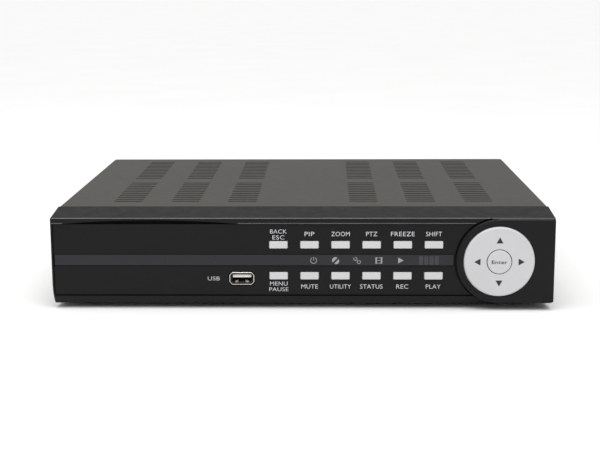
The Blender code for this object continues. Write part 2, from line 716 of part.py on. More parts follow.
def make_navigation_ring():
    """A bevelled disc with a lip that keeps it behind the block and a hub tube round the enter key."""
    front = -BLOCK_PROUD - RING_PROUD
    rim_back = front + RING_THICK
    lip_front = BLOCK_BACK + RING_LIFT_ROOM
    lip_back = lip_front + RING_LIP
    hub_back = TILT_DEPTH + CARRIER_THICK
    bore = ENTER_RADIUS + RUNNING
    hub = bore + HUB_WALL
    skirt = RING_RADIUS - RING_LIP
    outline = [
        (bore, front + RING_EDGE / 3),
        (bore + RING_EDGE / 3, front),
        (RING_RADIUS - RING_EDGE, front),
        (RING_RADIUS, front + RING_EDGE),
        (RING_RADIUS, lip_front),
        (RING_RADIUS + RING_LIP, lip_front),
        (RING_RADIUS + RING_LIP, lip_back),
        (skirt, lip_back),
        (skirt, rim_back),
        (hub, rim_back),
        (hub, hub_back),
        (bore, hub_back),
    ]
    mesh_data = bmesh.new()
    centre = place(DIAL_X, 0, DIAL_HEIGHT)
    loop = [mesh_data.verts.new(centre + Vector((radius, depth, 0))) for radius, depth in outline]
    edges = [mesh_data.edges.new((loop[i], loop[(i + 1) % len(loop)])) for i in range(len(loop))]
    whole = {"axis": (0, 1, 0), "angle": 2 * pi, "steps": 40, "use_merge": True}
    bmesh.ops.spin(mesh_data, geom=loop + edges, cent=centre, **whole)
    bmesh.ops.remove_doubles(mesh_data, verts=mesh_data.verts, dist=0.00001)
    ring = round_shaded(object_from("navigation_ring", mesh_data))
    plungers = []
    for angle in (0, 90, 180, 270):
        x = DIAL_X + PLUNGER_AT * cos(radians(angle))
        height = DIAL_HEIGHT + PLUNGER_AT * sin(radians(angle))
        reach = KEY_STEM / 2
        low = (x - reach, rim_back - GAP, height - reach)
        plungers.append((low, (x + reach, STEM_END, height + reach)))
    add(ring, boxes("ring_plungers", plungers))
    return finish(ring, KEY_GREY, 0.38)


def make_ring_carrier():
    """The gimbal frame: it tips about an upright line, and the ring tips about a level one in it."""
    inner = ENTER_RADIUS + RUNNING + HUB_WALL + SEAT
    width = CARRIER_SHARE * (PLUNGER_AT - KEY_STEM / 2 - inner)
    outer = inner + width
    centre = (DIAL_X, 0, DIAL_HEIGHT)
    front = TILT_DEPTH - CARRIER_THICK / 2
    back = front + CARRIER_THICK
    frame = cylinder("ring_carrier", outer, front, back, centre, sides=MEDIUM_ROUND)
    cut(frame, cylinder("carrier_hole", inner, front - GAP, back + GAP, centre, sides=LARGE_ROUND))
    near = KEY_STEM / 2 + SEAT
    reach = POCKET_RADIUS - CARRIER_ROOM
    arms = []
    for side in (-1, 1):
        for low, high in ((outer - width / 2, reach), (-reach, width / 2 - outer)):
            edges = sorted((side * near, side * (near + CARRIER_ARM)))
            arm_low = (DIAL_X + edges[0], front + GAP, DIAL_HEIGHT + low)
            arm_high = (DIAL_X + edges[1], back - GAP, DIAL_HEIGHT + high)
            arms.append((arm_low, arm_high))
    add(frame, boxes("carrier_arms", arms))
    return finish(frame, BLACK_PLASTIC, 0.5)


def make_usb_socket(prefix, x, front, height, flare):
    """A folded metal shell with a flared mouth, closed at the back, and the contact tongue inside it."""
    wide = USB_INNER_WIDE / 2
    high = USB_INNER_HIGH / 2
    back = front + USB_DEEP
    shell_low = (x - wide - USB_WALL, front, height - high - USB_WALL)
    shell = box(prefix + "_shell", shell_low, (x + wide + USB_WALL, back, height + high + USB_WALL))
    if flare:
        outline = flared(USB_FLARE, FLARE_CORNER)
        add(shell, prism(prefix + "_flare", outline, front, front + USB_FLARE_DEEP, "Y"))
    inner_low = (x - wide, front - GAP, height - high)
    cut(shell, box(prefix + "_inside", inner_low, (x + wide, back - USB_WALL, height + high)))
    tongue_side = wide - TONGUE_SIDE_GAP
    tongue_top = height + high - TONGUE_TOP_GAP
    tongue_low = (x - tongue_side, back - USB_WALL - GAP - TONGUE_LENGTH, tongue_top - TONGUE_THICK)
    tongue = box(prefix + "_tongue", tongue_low, (x + tongue_side, back - USB_WALL - GAP, tongue_top))
    finish(shell, BARE_METAL, 0.3, 1.0)
    finish(tongue, IVORY, 0.5)


def make_light_guide():
    bar_front = PLATE_BACK + GAP
    half = LIGHT_BAR_HIGH / 2
    left = LIGHTS_X[0] - LIGHT_RADIUS - RUNNING
    right = LIGHTS_X[-1] + LIGHT_RADIUS + RUNNING
    high = (right, bar_front + LIGHT_BAR_THICK, MID_HEIGHT + half)
    guide = box("light_guide", (left, bar_front, MID_HEIGHT - half), high)
    for x in LIGHTS_X:
        centre = (x, 0, MID_HEIGHT)
        pipe = cylinder("light_pipe", LIGHT_RADIUS, WINDOW_BACK + GAP, MAT_BACK, centre, sides=LEAST_ROUND)
        add(guide, pipe)
    return finish(guide, CLEAR, 0.15)


def make_ir_receiver():
    half = EYE_BODY / 2
    low = (EYE_X - half, PLATE_BACK + GAP, MID_HEIGHT - half)
    body = box("ir_receiver", low, (EYE_X + half, MAT_BACK, MID_HEIGHT + half))
    centre = (EYE_X, 0, MID_HEIGHT)
    lens = cylinder("eye_lens", EYE_RADIUS, WINDOW_BACK + GAP, PLATE_BACK + SEAT, centre)
    return finish(add(body, lens), SMOKED, 0.25)


def make_dome_mat():
    """One silicone sheet with a dome behind each key and each end of the ring, slotted for the lights."""
    low = (FRONT_BOARD_LEFT, MAT_FRONT, FRONT_BOARD_LOW)
    mat = box("dome_mat", low, (FRONT_BOARD_RIGHT, MAT_BACK, FRONT_BOARD_TOP))
    eye = EYE_BODY / 2 + SEAT
    slot_low = (LIGHTS_X[0] - LIGHT_RADIUS - SEAT, MAT_FRONT - GAP, MID_HEIGHT - eye)
    cut(mat, box("light_slot", slot_low, (EYE_X + eye, MAT_BACK + GAP, MID_HEIGHT + eye)))
    cut(mat, usb_clearance("mat_usb_notch", MAT_FRONT - GAP, MAT_BACK + GAP))
    centres = [(x, 0, height) for x, height in KEY_PLACES]
    centres.append((DIAL_X, 0, DIAL_HEIGHT))
    for angle in (0, 90, 180, 270):
        offset = radians(angle)
        centres.append((DIAL_X + PLUNGER_AT * cos(offset), 0, DIAL_HEIGHT + PLUNGER_AT * sin(offset)))
    add(mat, cylinders("domes", DOME_RADIUS, DOME_TOP, MAT_FRONT + GAP, centres, sides=LEAST_ROUND))
    return finish(mat, RUBBER, 0.7)


def usb_clearance(name, front, back):
    half = USB_INNER_WIDE / 2 + USB_WALL + SEAT
    tall = USB_INNER_HIGH / 2 + USB_WALL + SEAT
    return box(name, (USB_X - half, front, USB_HEIGHT - tall), (USB_X + half, back, USB_HEIGHT + tall))


def make_key_board():
    low = (FRONT_BOARD_LEFT, FRONT_BOARD_AT, FRONT_BOARD_LOW)
    board = box("key_board", low, (FRONT_BOARD_RIGHT, FRONT_BOARD_AT + BOARD_THICK, FRONT_BOARD_TOP))
    return finish(board, BOARD_GREEN, 0.45)


# Tray, cover, feet and screws


def make_chassis_tray():
    """Bent sheet: floor, front and back walls, low side flanges, and posts for the board and the disk."""
    low = (-TRAY_HALF, TRAY_FRONT, TRAY_BOTTOM)
    tray = box("chassis_tray", low, (TRAY_HALF, REAR_FACE, TRAY_TOP))
    wall = TRAY_HALF - SHEET
    inside_low = (-wall, TRAY_FRONT + SHEET, TRAY_FLOOR)
    inside = box("tray_inside", inside_low, (wall, REAR_INSIDE, TRAY_TOP + SHEET))
    side_low = (-TRAY_HALF - SHEET, TRAY_FRONT + TRAY_FLANGE, TRAY_BOTTOM + TRAY_FLANGE)
    side_high = (TRAY_HALF + SHEET, REAR_INSIDE - TRAY_FLANGE, TRAY_TOP + SHEET)
    sides = box("tray_sides", side_low, side_high)
    cut(tray, inside, sides)

    root = TRAY_FLOOR - SHEET / 2
    board_posts = cylinders("board_posts", POST_RADIUS, root, BOARD_LOW - GAP, board_corners(), "Z", 8)
    disk_posts = cylinders("disk_posts", POST_RADIUS, root, DISK_LOW - GAP, disk_corners(), "Z", 8)
    add(tray, board_posts, disk_posts)

    slots = []
    for x in HOOKS_X:
        half = HOOK_WIDTH / 2 + RUNNING
        for hook in (LOW_HOOK, HIGH_HOOK):
            slot_low = (x - half, TRAY_FRONT - SHEET, hook - GAP)
            slots.append((slot_low, (x + half, TRAY_FRONT + 2 * SHEET, hook + HOOK_THICK + GAP)))
    door_half = RIBBON_WIDE / 2 + CABLE_DOOR_MARGIN
    door_low = (RIBBON_X - door_half, TRAY_FRONT - SHEET, CABLE_DOOR_LOW)
    slots.append((door_low, (RIBBON_X + door_half, TRAY_FRONT + 2 * SHEET, CABLE_DOOR_HIGH)))
    slots += fan_slots()
    slots += square_rear_holes()
    cut(tray, boxes("tray_slots", slots))
    cut(tray, *round_rear_holes())

    feet = [(x, depth, 0) for x, depth in FOOT_PLACES]
    cut(tray, cylinders("foot_holes", FOOT_STEM + RUNNING, 0, TRAY_FLOOR + SHEET, feet, "Z", 12))
    through = [(0, depth, SIDE_SCREW_HEIGHT) for depth in SIDE_SCREWS]
    cut(tray, cylinders("side_holes", SCREW_RADIUS + RUNNING, -HALF_WIDTH, HALF_WIDTH, through, "X", 12))
    return finish(tray, BARE_METAL, 0.45, 1.0)


def board_corners():
    xs = (BOARD_LEFT + POST_INSET, BOARD_RIGHT - POST_INSET)
    depths = (BOARD_FRONT + POST_INSET, REAR_INSIDE - BNC_DEEP - POST_INSET)
    return [(x, depth, 0) for x in xs for depth in depths]


def disk_corners():
    xs = (DISK_LEFT + POST_INSET, DISK_RIGHT - POST_INSET)
    depths = (DISK_FRONT + POST_INSET, DISK_BACK - POST_INSET)
    return [(x, depth, 0) for x in xs for depth in depths]


def fan_slots():
    """Upright slots in the back wall, as long as the fan's round mouth is high at each of them."""
    found = []
    for step in range(-FAN_SLOT_COUNT // 2 + 1, FAN_SLOT_COUNT // 2 + 1):
        offset = step * FAN_SLOT_PITCH
        half = sqrt(FAN_MOUTH**2 - offset**2) - SEAT
        x = FAN_X + offset
        slot_low = (x - FAN_SLOT_WIDTH / 2, REAR_INSIDE - SHEET, FAN_HEIGHT - half)
        found.append((slot_low, (x + FAN_SLOT_WIDTH / 2, REAR_FACE + SHEET, FAN_HEIGHT + half)))
    return found


def square_rear_holes():
    found = []
    openings = [
        (LAN_X, LAN_HEIGHT, LAN_WIDE, LAN_HIGH),
        (REAR_USB_X, REAR_USB_HEIGHT, REAR_USB_WIDE, REAR_USB_HIGH),
        (JACK_X, JACK_HEIGHT, JACK_SIDE, JACK_HIGH),
        (TERMINAL_X, TERMINAL_HEIGHT, TERMINAL_WIDE, TERMINAL_HIGH),
        (SWITCH_X, SWITCH_HEIGHT, SWITCH_WIDE, SWITCH_HIGH),
        (VGA_X, VGA_HEIGHT, VGA_SHELL_WIDE, VGA_SHELL_HIGH),
    ]
    for x, height, wide, high in openings:
        half = wide / 2 + RUNNING
        tall = high / 2 + RUNNING
        low = (x - half, REAR_INSIDE - SHEET, height - tall)
        found.append((low, (x + half, REAR_FACE + SHEET, height + tall)))
    return found


def round_rear_holes():
    near = REAR_INSIDE - SHEET
    far = REAR_FACE + SHEET
    bnc = [(x, 0, height) for x, height in BNC_PLACES]
    phonos = [(PHONO_X, 0, height) for height in PHONO_HEIGHTS]
    posts = [(VGA_X + side * VGA_POST_AT, 0, VGA_HEIGHT) for side in (-1, 1)]
    screws = [(x, 0, REAR_SCREW_HEIGHT) for x in REAR_SCREWS_X]
    return [
        cylinders("bnc_holes", BNC_BARREL + RUNNING, near, far, bnc),
        cylinders("phono_holes", PHONO_BARREL + RUNNING, near, far, phonos),
        cylinders("post_holes", VGA_POST + RUNNING, near, far, posts, sides=TINY_ROUND),
        cylinders("rear_screw_holes", SCREW_RADIUS + RUNNING, near, far, screws, sides=TINY_ROUND),
    ]


def make_top_cover():
    """A sheet bent down at both sides, with a lip down the back and blocks of slots through the top."""
    bend = COVER_BEND
    outer = [(COVER_HALF, COVER_SKIRT), (COVER_HALF, COVER_TOP - bend), (COVER_HALF - bend, COVER_TOP)]
    outer += [(-x, height) for x, height in reversed(outer)]
    inner_half = COVER_HALF - COVER_WALL
    inner_top = COVER_TOP - COVER_WALL
    inner = [(inner_half, inner_top), (inner_half, COVER_SKIRT)]
    inner = [(-x, height) for x, height in reversed(inner)] + inner
    cover = prism("top_cover", outer + inner, COVER_FRONT, UNIT_DEPTH, "Y")
    lip_low = (-inner_half - COVER_WALL / 2, UNIT_DEPTH - COVER_WALL, COVER_TOP - COVER_LIP)
    lip_high = (inner_half + COVER_WALL / 2, UNIT_DEPTH, COVER_TOP - COVER_WALL / 2)
    add(cover, box("cover_lip", lip_low, lip_high))

    slots = []
    for x in SLOT_COLUMNS_X:
        for depth in slot_depths():
            low = (x - SLOT_LENGTH / 2, depth - SLOT_WIDTH / 2, inner_top - COVER_WALL)
            slots.append((low, (x + SLOT_LENGTH / 2, depth + SLOT_WIDTH / 2, COVER_TOP + COVER_WALL)))
    cut(cover, boxes("cover_slots", slots))
    sides = [(0, depth, SIDE_SCREW_HEIGHT) for depth in SIDE_SCREWS]
    bore = SCREW_RADIUS + RUNNING
    cut(cover, cylinders("cover_side_holes", bore, -UNIT_WIDTH, UNIT_WIDTH, sides, "X", TINY_ROUND))
    rear = [(x, 0, REAR_SCREW_HEIGHT) for x in REAR_SCREWS_X]
    near = UNIT_DEPTH - 2 * COVER_WALL
    cut(cover, cylinders("cover_rear_holes", bore, near, UNIT_DEPTH + COVER_WALL, rear))
    return finish(cover, STEEL_BLACK, 0.5)


def slot_depths():
    front = [COVER_FRONT + FRONT_SLOTS_AT + SLOT_PITCH * i for i in range(FRONT_SLOTS)]
    rear = [UNIT_DEPTH - REAR_SLOTS_END - SLOT_PITCH * i for i in range(REAR_SLOTS)]
    return front + rear


def make_screw(name, centre, axis, outward):
    """A pan-head screw whose head sits outside the cover at the centre, with its shank inwards."""
    crown = SCREW_HEAD - SCREW_HEAD_THICK / 2
    profile = [(0, SCREW_HEAD_THICK), (crown, SCREW_HEAD_THICK), (SCREW_HEAD, SCREW_HEAD_THICK / 3)]
    profile += [(SCREW_HEAD, 0), (SCREW_RADIUS, 0), (SCREW_RADIUS, -SCREW_LENGTH), (0, -SCREW_LENGTH)]
    profile = [(radius, outward * along) for radius, along in profile]
    return finish(turned(name, profile, centre, axis, 10), BARE_METAL, 0.35, 1.0)


def make_screws():
    for side, word in ((-1, "left"), (1, "right")):
        for depth, end in zip(SIDE_SCREWS, ("front", "back")):
            x = side * (COVER_HALF + GAP / 3)
            make_screw(f"cover_screw_{word}_{end}", (x, depth, SIDE_SCREW_HEIGHT), "X", side)
        x = REAR_SCREWS_X[(side + 1) // 2]
        make_screw(f"cover_screw_rear_{word}", (x, UNIT_DEPTH + GAP / 3, REAR_SCREW_HEIGHT), "Y", 1)


def make_feet():
    """A rubber foot pushed up through the tray's floor, with a bead that keeps it there."""
    bead = FOOT_STEM + RUNNING + GAP
    over = TRAY_FLOOR + GAP
    for name, (x, depth) in zip(FOOT_NAMES, FOOT_PLACES):
        profile = [
            (0, -FOOT_DROP),
            (FOOT_RADIUS - SEAT, -FOOT_DROP),
            (FOOT_RADIUS, -FOOT_DROP + SEAT),
            (FOOT_RADIUS, TRAY_BOTTOM - GAP),
            (FOOT_STEM, TRAY_BOTTOM - GAP),
            (FOOT_STEM, over),
            (bead, over + SEAT),
            (FOOT_STEM / 2, over + 2 * SEAT),
            (0, over + 2 * SEAT),
        ]
        finish(turned(name, profile, (x, depth, 0), "Z", 16), RUBBER, 0.8)


# Boards, disk, cables and fan


def make_main_board():
    low = (BOARD_LEFT, BOARD_FRONT, BOARD_LOW)
    board = box("main_board", low, (BOARD_RIGHT, REAR_INSIDE - GAP, BOARD_TOP))
    x, depth = sink_place()
    half = CHIP_SIDE / 2
    chip_low = (x - half, depth - half, BOARD_TOP - BOARD_THICK / 2)
    chip = box("main_chip", chip_low, (x + half, depth + half, BOARD_TOP + CHIP_THICK))
    return finish(add(board, chip), BOARD_GREEN, 0.45)


def sink_place():
    return BOARD_RIGHT - SINK_FROM_RIGHT, BOARD_FRONT + SINK_FROM_FRONT


def make_heatsink():
    """A base with upright fins, one outline extruded along the depth."""
    x, depth = sink_place()
    low = BOARD_TOP + CHIP_THICK + GAP
    left = x - SINK_SIDE / 2
    pitch = (SINK_SIDE - FIN_THICK) / (SINK_FINS - 1)
    outline = [(left + SINK_SIDE, low), (left, low)]
    for i in range(SINK_FINS):
        fin = left + pitch * i
        top = low + SINK_HIGH
        outline += [(fin, top), (fin + FIN_THICK, top)]
        if i < SINK_FINS - 1:
            outline += [(fin + FIN_THICK, low + SINK_BASE), (fin + pitch, low + SINK_BASE)]
    sink = prism("heatsink", outline, depth - SINK_SIDE / 2, depth + SINK_SIDE / 2, "Y")
    return finish(sink, BARE_METAL, 0.4, 1.0)


def make_coin_cell():
    centre = (BOARD_RIGHT - CELL_FROM_RIGHT, BOARD_FRONT + SINK_FROM_FRONT, BOARD_TOP + GAP)
    profile = [(0, 0), (CELL_RADIUS - SEAT, 0), (CELL_RADIUS, SEAT), (CELL_RADIUS, CELL_THICK)]
    profile.append((0, CELL_THICK))
    return finish(turned("coin_cell", profile, centre, "Z", 16), BARE_METAL, 0.25, 1.0)


def make_disk():
    low = (DISK_LEFT, DISK_FRONT, DISK_LOW)
    casing = box("hard_disk", low, (DISK_RIGHT, DISK_BACK, DISK_LOW + DISK_HIGH))
    finish(bevelled(casing, DISK_EDGE, 1), BARE_METAL, 0.4, 1.0)
    inset = DISK_BOARD_INSET
    top = DISK_LOW - GAP
    low = (DISK_LEFT + inset, DISK_FRONT + inset, top - DISK_BOARD_THICK)
    board = box("disk_board", low, (DISK_RIGHT - inset, DISK_BACK - inset, top))
    finish(board, BOARD_GREEN, 0.45)


def eased(points, steps=5):
    """A path through the points whose second value eases in and out between them."""
    path = [points[0]]
    for (u, v), (next_u, next_v) in zip(points, points[1:]):
        for i in range(1, steps + 1):
            t = i / steps
            path.append((u + (next_u - u) * t, v + (next_v - v) * (1 - cos(pi * t)) / 2))
    return path


def band(path, thickness):
    """The outline of a band of even thickness along a path."""
    points = [Vector(point) for point in path]
    one_side = []
    other_side = []
    for i, point in enumerate(points):
        along = (points[min(i + 1, len(points) - 1)] - points[max(i - 1, 0)]).normalized()
        across = Vector((-along.y, along.x)) * thickness / 2
        one_side.append(tuple(point + across))
        other_side.append(tuple(point - across))
    return one_side + other_side[::-1]


def make_ribbon_cable():
    """Flat cable from the key board, through the tray's front wall and along the floor."""
    start = FRONT_BOARD_AT + BOARD_THICK + GAP
    landing = BOARD_TOP + GAP + RIBBON_THICK
    path = eased([
        (start, RIBBON_START_HEIGHT),
        (TRAY_FRONT + 3 * SHEET, RIBBON_START_HEIGHT),
        (DISK_FRONT + 2 * SIDE_ROOM, RIBBON_FLOOR_HEIGHT),
        (BOARD_FRONT - 3 * SIDE_ROOM, RIBBON_FLOOR_HEIGHT),
        (BOARD_FRONT - SIDE_ROOM / 2, BOARD_TOP + RIBBON_OVER_BOARD),
        (BOARD_FRONT + SIDE_ROOM, landing),
    ])
    half = RIBBON_WIDE / 2
    ribbon = prism("ribbon_cable", band(path, RIBBON_THICK), RIBBON_X - half, RIBBON_X + half, "X")
    return finish(ribbon, KEY_GREY, 0.6)


def make_sata_cable(name, from_front, out, shift, thickness, colour):
    """A flat cable on edge: out of the disk's end, round a bend, and back to the main board's edge."""
    x = DISK_RIGHT + GAP
    depth = DISK_FRONT + from_front
    bend_x = x + out
    path = [(x, depth)]
    for angle in arc(-90, 0, 5):
        path.append((bend_x + SATA_BEND * cos(angle), depth + SATA_BEND + SATA_BEND * sin(angle)))
    side = bend_x + SATA_BEND
    run = eased([(BOARD_FRONT - 2 * SIDE_ROOM, side), (BOARD_FRONT - GAP, side + shift)])
    path += [(across, along) for along, across in run]
    low = DISK_LOW + SHEET
    cable = prism(name, band(path, thickness), low, low + SATA_WIDE, "Z")
    return finish(cable, colour, 0.5)


def make_fan():
    half = FAN_SIDE / 2
    centre = (FAN_X, 0, FAN_HEIGHT)
    low = (FAN_X - half, FAN_FRONT, FAN_HEIGHT - half)
    frame = box("fan_frame", low, (FAN_X + half, FAN_BACK, FAN_HEIGHT + half))
    cut(frame, cylinder("fan_mouth", FAN_MOUTH, FAN_FRONT - GAP, FAN_BACK + GAP, centre, sides=MEDIUM_ROUND))
    spoke_back = FAN_FRONT + FAN_SPOKE_THICK
    arm = FAN_SPOKE / 2
    span = FAN_MOUTH + FAN_WALL / 2
    low = (FAN_X - span, FAN_FRONT, FAN_HEIGHT - arm)
    level = box("fan_spoke", low, (FAN_X + span, spoke_back, FAN_HEIGHT + arm))
    low = (FAN_X - arm, FAN_FRONT, FAN_HEIGHT - span)
    upright = box("fan_post", low, (FAN_X + arm, spoke_back, FAN_HEIGHT + span))
    plate = cylinder("fan_plate", FAN_HUB, FAN_FRONT, spoke_back, centre, sides=PLAIN_ROUND)
    add(frame, level, upright, plate)
    bore = FAN_SHAFT + RUNNING
    hole = cylinder("fan_shaft_hole", bore, FAN_FRONT - GAP, spoke_back + GAP, centre, sides=TINY_ROUND)
    finish(cut(frame, hole), BLACK_PLASTIC, 0.5)

    hub = FAN_HUB - GAP
    front = spoke_back + RUNNING
    back = FAN_BACK - FAN_END_ROOM
    profile = [(0, FAN_FRONT + GAP), (FAN_SHAFT, FAN_FRONT + GAP), (FAN_SHAFT, front), (hub, front)]
    profile += [(hub, back - SEAT), (hub - SEAT, back), (0, back)]
    rotor = turned("fan_rotor", profile, centre, sides=SMALL_ROUND)
    mesh_data = bmesh.new()
    length = FAN_MOUTH - SEAT - hub / 2
    middle = (front + back) / 2
    for i in range(FAN_BLADES):
        turn = Matrix.Rotation(2 * pi * i / FAN_BLADES, 4, "Y")
        shape = Matrix.Diagonal((length, BLADE_THICK, BLADE_DEEP * cos(BLADE_PITCH), 1))
        matrix = Matrix.Translation(place(FAN_X, middle, FAN_HEIGHT)) @ turn
        matrix = matrix @ Matrix.Translation((hub / 2 + length / 2, 0, 0))
        matrix = matrix @ Matrix.Rotation(BLADE_PITCH, 4, "X")
        bmesh.ops.create_cube(mesh_data, size=1, matrix=matrix @ shape)
    add(rotor, object_from("fan_blades", mesh_data))
    finish(rotor, BLACK_PLASTIC, 0.5)


# Rear sockets


def make_bnc(name, x, height):
    """A square body inside the back wall and a bayonet barrel outside it, with a filled mouth."""
    half = BNC_BLOCK / 2
    inside = REAR_INSIDE - GAP
    body = box(name, (x - half, inside - BNC_DEEP, height - half), (x + half, inside, height + half))
    tip = UNIT_DEPTH + BNC_REACH
    collar = REAR_FACE + GAP
    floor = tip - BNC_BORE_DEEP
    profile = [
        (0, inside - BNC_DEEP / 2),
        (BNC_BARREL, inside - BNC_DEEP / 2),
        (BNC_BARREL, collar),
        (BNC_COLLAR, collar),
        (BNC_COLLAR, collar + BNC_COLLAR_REACH),
        (BNC_BARREL, collar + BNC_COLLAR_REACH),
        (BNC_BARREL, tip),
        (BNC_BORE, tip),
        (BNC_BORE, floor),
        (BNC_CORE, floor),
        (BNC_CORE, tip - BNC_CORE_SET),
        (0, tip - BNC_CORE_SET),
    ]
    barrel = turned(name + "_barrel", profile, (x, 0, height), sides=TINY_ROUND)
    return finish(add(body, barrel), BARE_METAL, 0.3, 1.0)


def make_phono(name, height, colour):
    half = PHONO_BLOCK / 2
    inside = REAR_INSIDE - GAP
    low = (PHONO_X - half, inside - PHONO_DEEP, height - half)
    body = box(name, low, (PHONO_X + half, inside, height + half))
    tip = REAR_FACE + PHONO_REACH
    collar = REAR_FACE + GAP
    profile = [
        (0, inside - PHONO_DEEP / 2),
        (PHONO_BARREL, inside - PHONO_DEEP / 2),
        (PHONO_BARREL, collar),
        (PHONO_COLLAR, collar),
        (PHONO_COLLAR, collar + SHEET),
        (PHONO_BARREL, collar + SHEET),
        (PHONO_BARREL, tip),
        (PHONO_BORE, tip),
        (PHONO_BORE, collar),
        (0, collar),
    ]
    barrel = turned(name + "_barrel", profile, (PHONO_X, 0, height), sides=TINY_ROUND)
    return finish(add(body, barrel), colour, 0.4)


def make_vga():
    inside = REAR_INSIDE - GAP
    half = VGA_WIDE / 2
    tall = VGA_HIGH / 2
    low = (VGA_X - half, inside - VGA_DEEP, VGA_HEIGHT - tall)
    body = box("vga_socket", low, (VGA_X + half, inside, VGA_HEIGHT + tall))
    wide = VGA_SHELL_WIDE / 2
    high = VGA_SHELL_HIGH / 2
    outline = [(wide, high), (wide - VGA_SLANT, -high), (VGA_SLANT - wide, -high), (-wide, high)]
    outline = [(VGA_X + x, VGA_HEIGHT + z) for x, z in outline]
    shell = prism("vga_shell", outline, inside - VGA_DEEP / 2, REAR_FACE + VGA_REACH, "Y")
    bevelled(shell, SEAT, 1)
    posts = [(VGA_X + side * VGA_POST_AT, 0, VGA_HEIGHT) for side in (-1, 1)]
    post_end = REAR_FACE + VGA_POST_REACH
    hexes = cylinders("vga_posts", VGA_POST, inside - VGA_DEEP / 2, post_end, posts, sides=HEX)
    return finish(add(body, shell, hexes), BARE_METAL, 0.35, 1.0)


def make_lan():
    half = LAN_WIDE / 2
    tall = LAN_HIGH / 2
    face = REAR_FACE + LAN_REACH
    low = (LAN_X - half, face - LAN_DEEP, LAN_HEIGHT - tall)
    body = box("lan_socket", low, (LAN_X + half, face, LAN_HEIGHT + tall))
    wide = LAN_HOLE_WIDE / 2
    high = LAN_HOLE_HIGH / 2
    hole_low = (LAN_X - wide, face - LAN_HOLE_DEEP, LAN_HEIGHT - high)
    cut(body, box("lan_hole", hole_low, (LAN_X + wide, face + GAP, LAN_HEIGHT + high)))
    return finish(body, BARE_METAL, 0.35, 1.0)


def make_rear_usb():
    """A metal shell with its tongue on the closed inner end, in one piece."""
    half = REAR_USB_WIDE / 2
    tall = REAR_USB_HIGH / 2
    face = REAR_FACE + LAN_REACH
    low = (REAR_USB_X - half, face - USB_DEEP, REAR_USB_HEIGHT - tall)
    shell = box("usb_rear_shell", low, (REAR_USB_X + half, face, REAR_USB_HEIGHT + tall))
    floor = face - USB_DEEP + SHEET
    wide = half - USB_WALL
    high = tall - USB_WALL
    inner_low = (REAR_USB_X - wide, floor, REAR_USB_HEIGHT - high)
    cut(shell, box("usb_rear_inside", inner_low, (REAR_USB_X + wide, face + GAP, REAR_USB_HEIGHT + high)))
    top = REAR_USB_HEIGHT + high - TONGUE_TOP_GAP
    side = wide - TONGUE_SIDE_GAP
    tongue_low = (REAR_USB_X - side, floor - SHEET / 2, top - TONGUE_THICK)
    tongue = box("usb_rear_tongue", tongue_low, (REAR_USB_X + side, floor + TONGUE_LENGTH, top))
    return finish(add(shell, tongue), BARE_METAL, 0.3, 1.0)


def make_dc_jack():
    half = JACK_SIDE / 2
    tall = JACK_HIGH / 2
    face = REAR_FACE + LAN_REACH
    low = (JACK_X - half, face - JACK_DEEP, JACK_HEIGHT - tall)
    body = box("dc_jack", low, (JACK_X + half, face, JACK_HEIGHT + tall))
    floor = face - JACK_DEEP + 3 * SHEET
    centre = (JACK_X, 0, JACK_HEIGHT)
    cut(body, cylinder("jack_bore", JACK_BORE, floor, face + GAP, centre, sides=SMALL_ROUND))
    add(body, cylinder("jack_pin", JACK_PIN, floor - SHEET, face - SHEET, centre, sides=LEAST_ROUND))
    return finish(body, BLACK_PLASTIC, 0.5)


def make_terminal_block():
    half = TERMINAL_WIDE / 2
    tall = TERMINAL_HIGH / 2
    face = REAR_FACE + TERMINAL_REACH
    low = (TERMINAL_X - half, face - TERMINAL_DEEP, TERMINAL_HEIGHT - tall)
    body = box("terminal_block", low, (TERMINAL_X + half, face, TERMINAL_HEIGHT + tall))
    mouth = TERMINAL_PITCH / 3
    mouths = []
    for i in range(TERMINAL_WAYS):
        x = TERMINAL_X + TERMINAL_PITCH * (i - (TERMINAL_WAYS - 1) / 2)
        mouth_low = (x - mouth, face - TERMINAL_DEEP / 2, TERMINAL_HEIGHT - mouth)
        mouths.append((mouth_low, (x + mouth, face + GAP, TERMINAL_HEIGHT + mouth)))
    return finish(cut(body, boxes("terminal_mouths", mouths)), (0.02, 0.16, 0.07), 0.5)


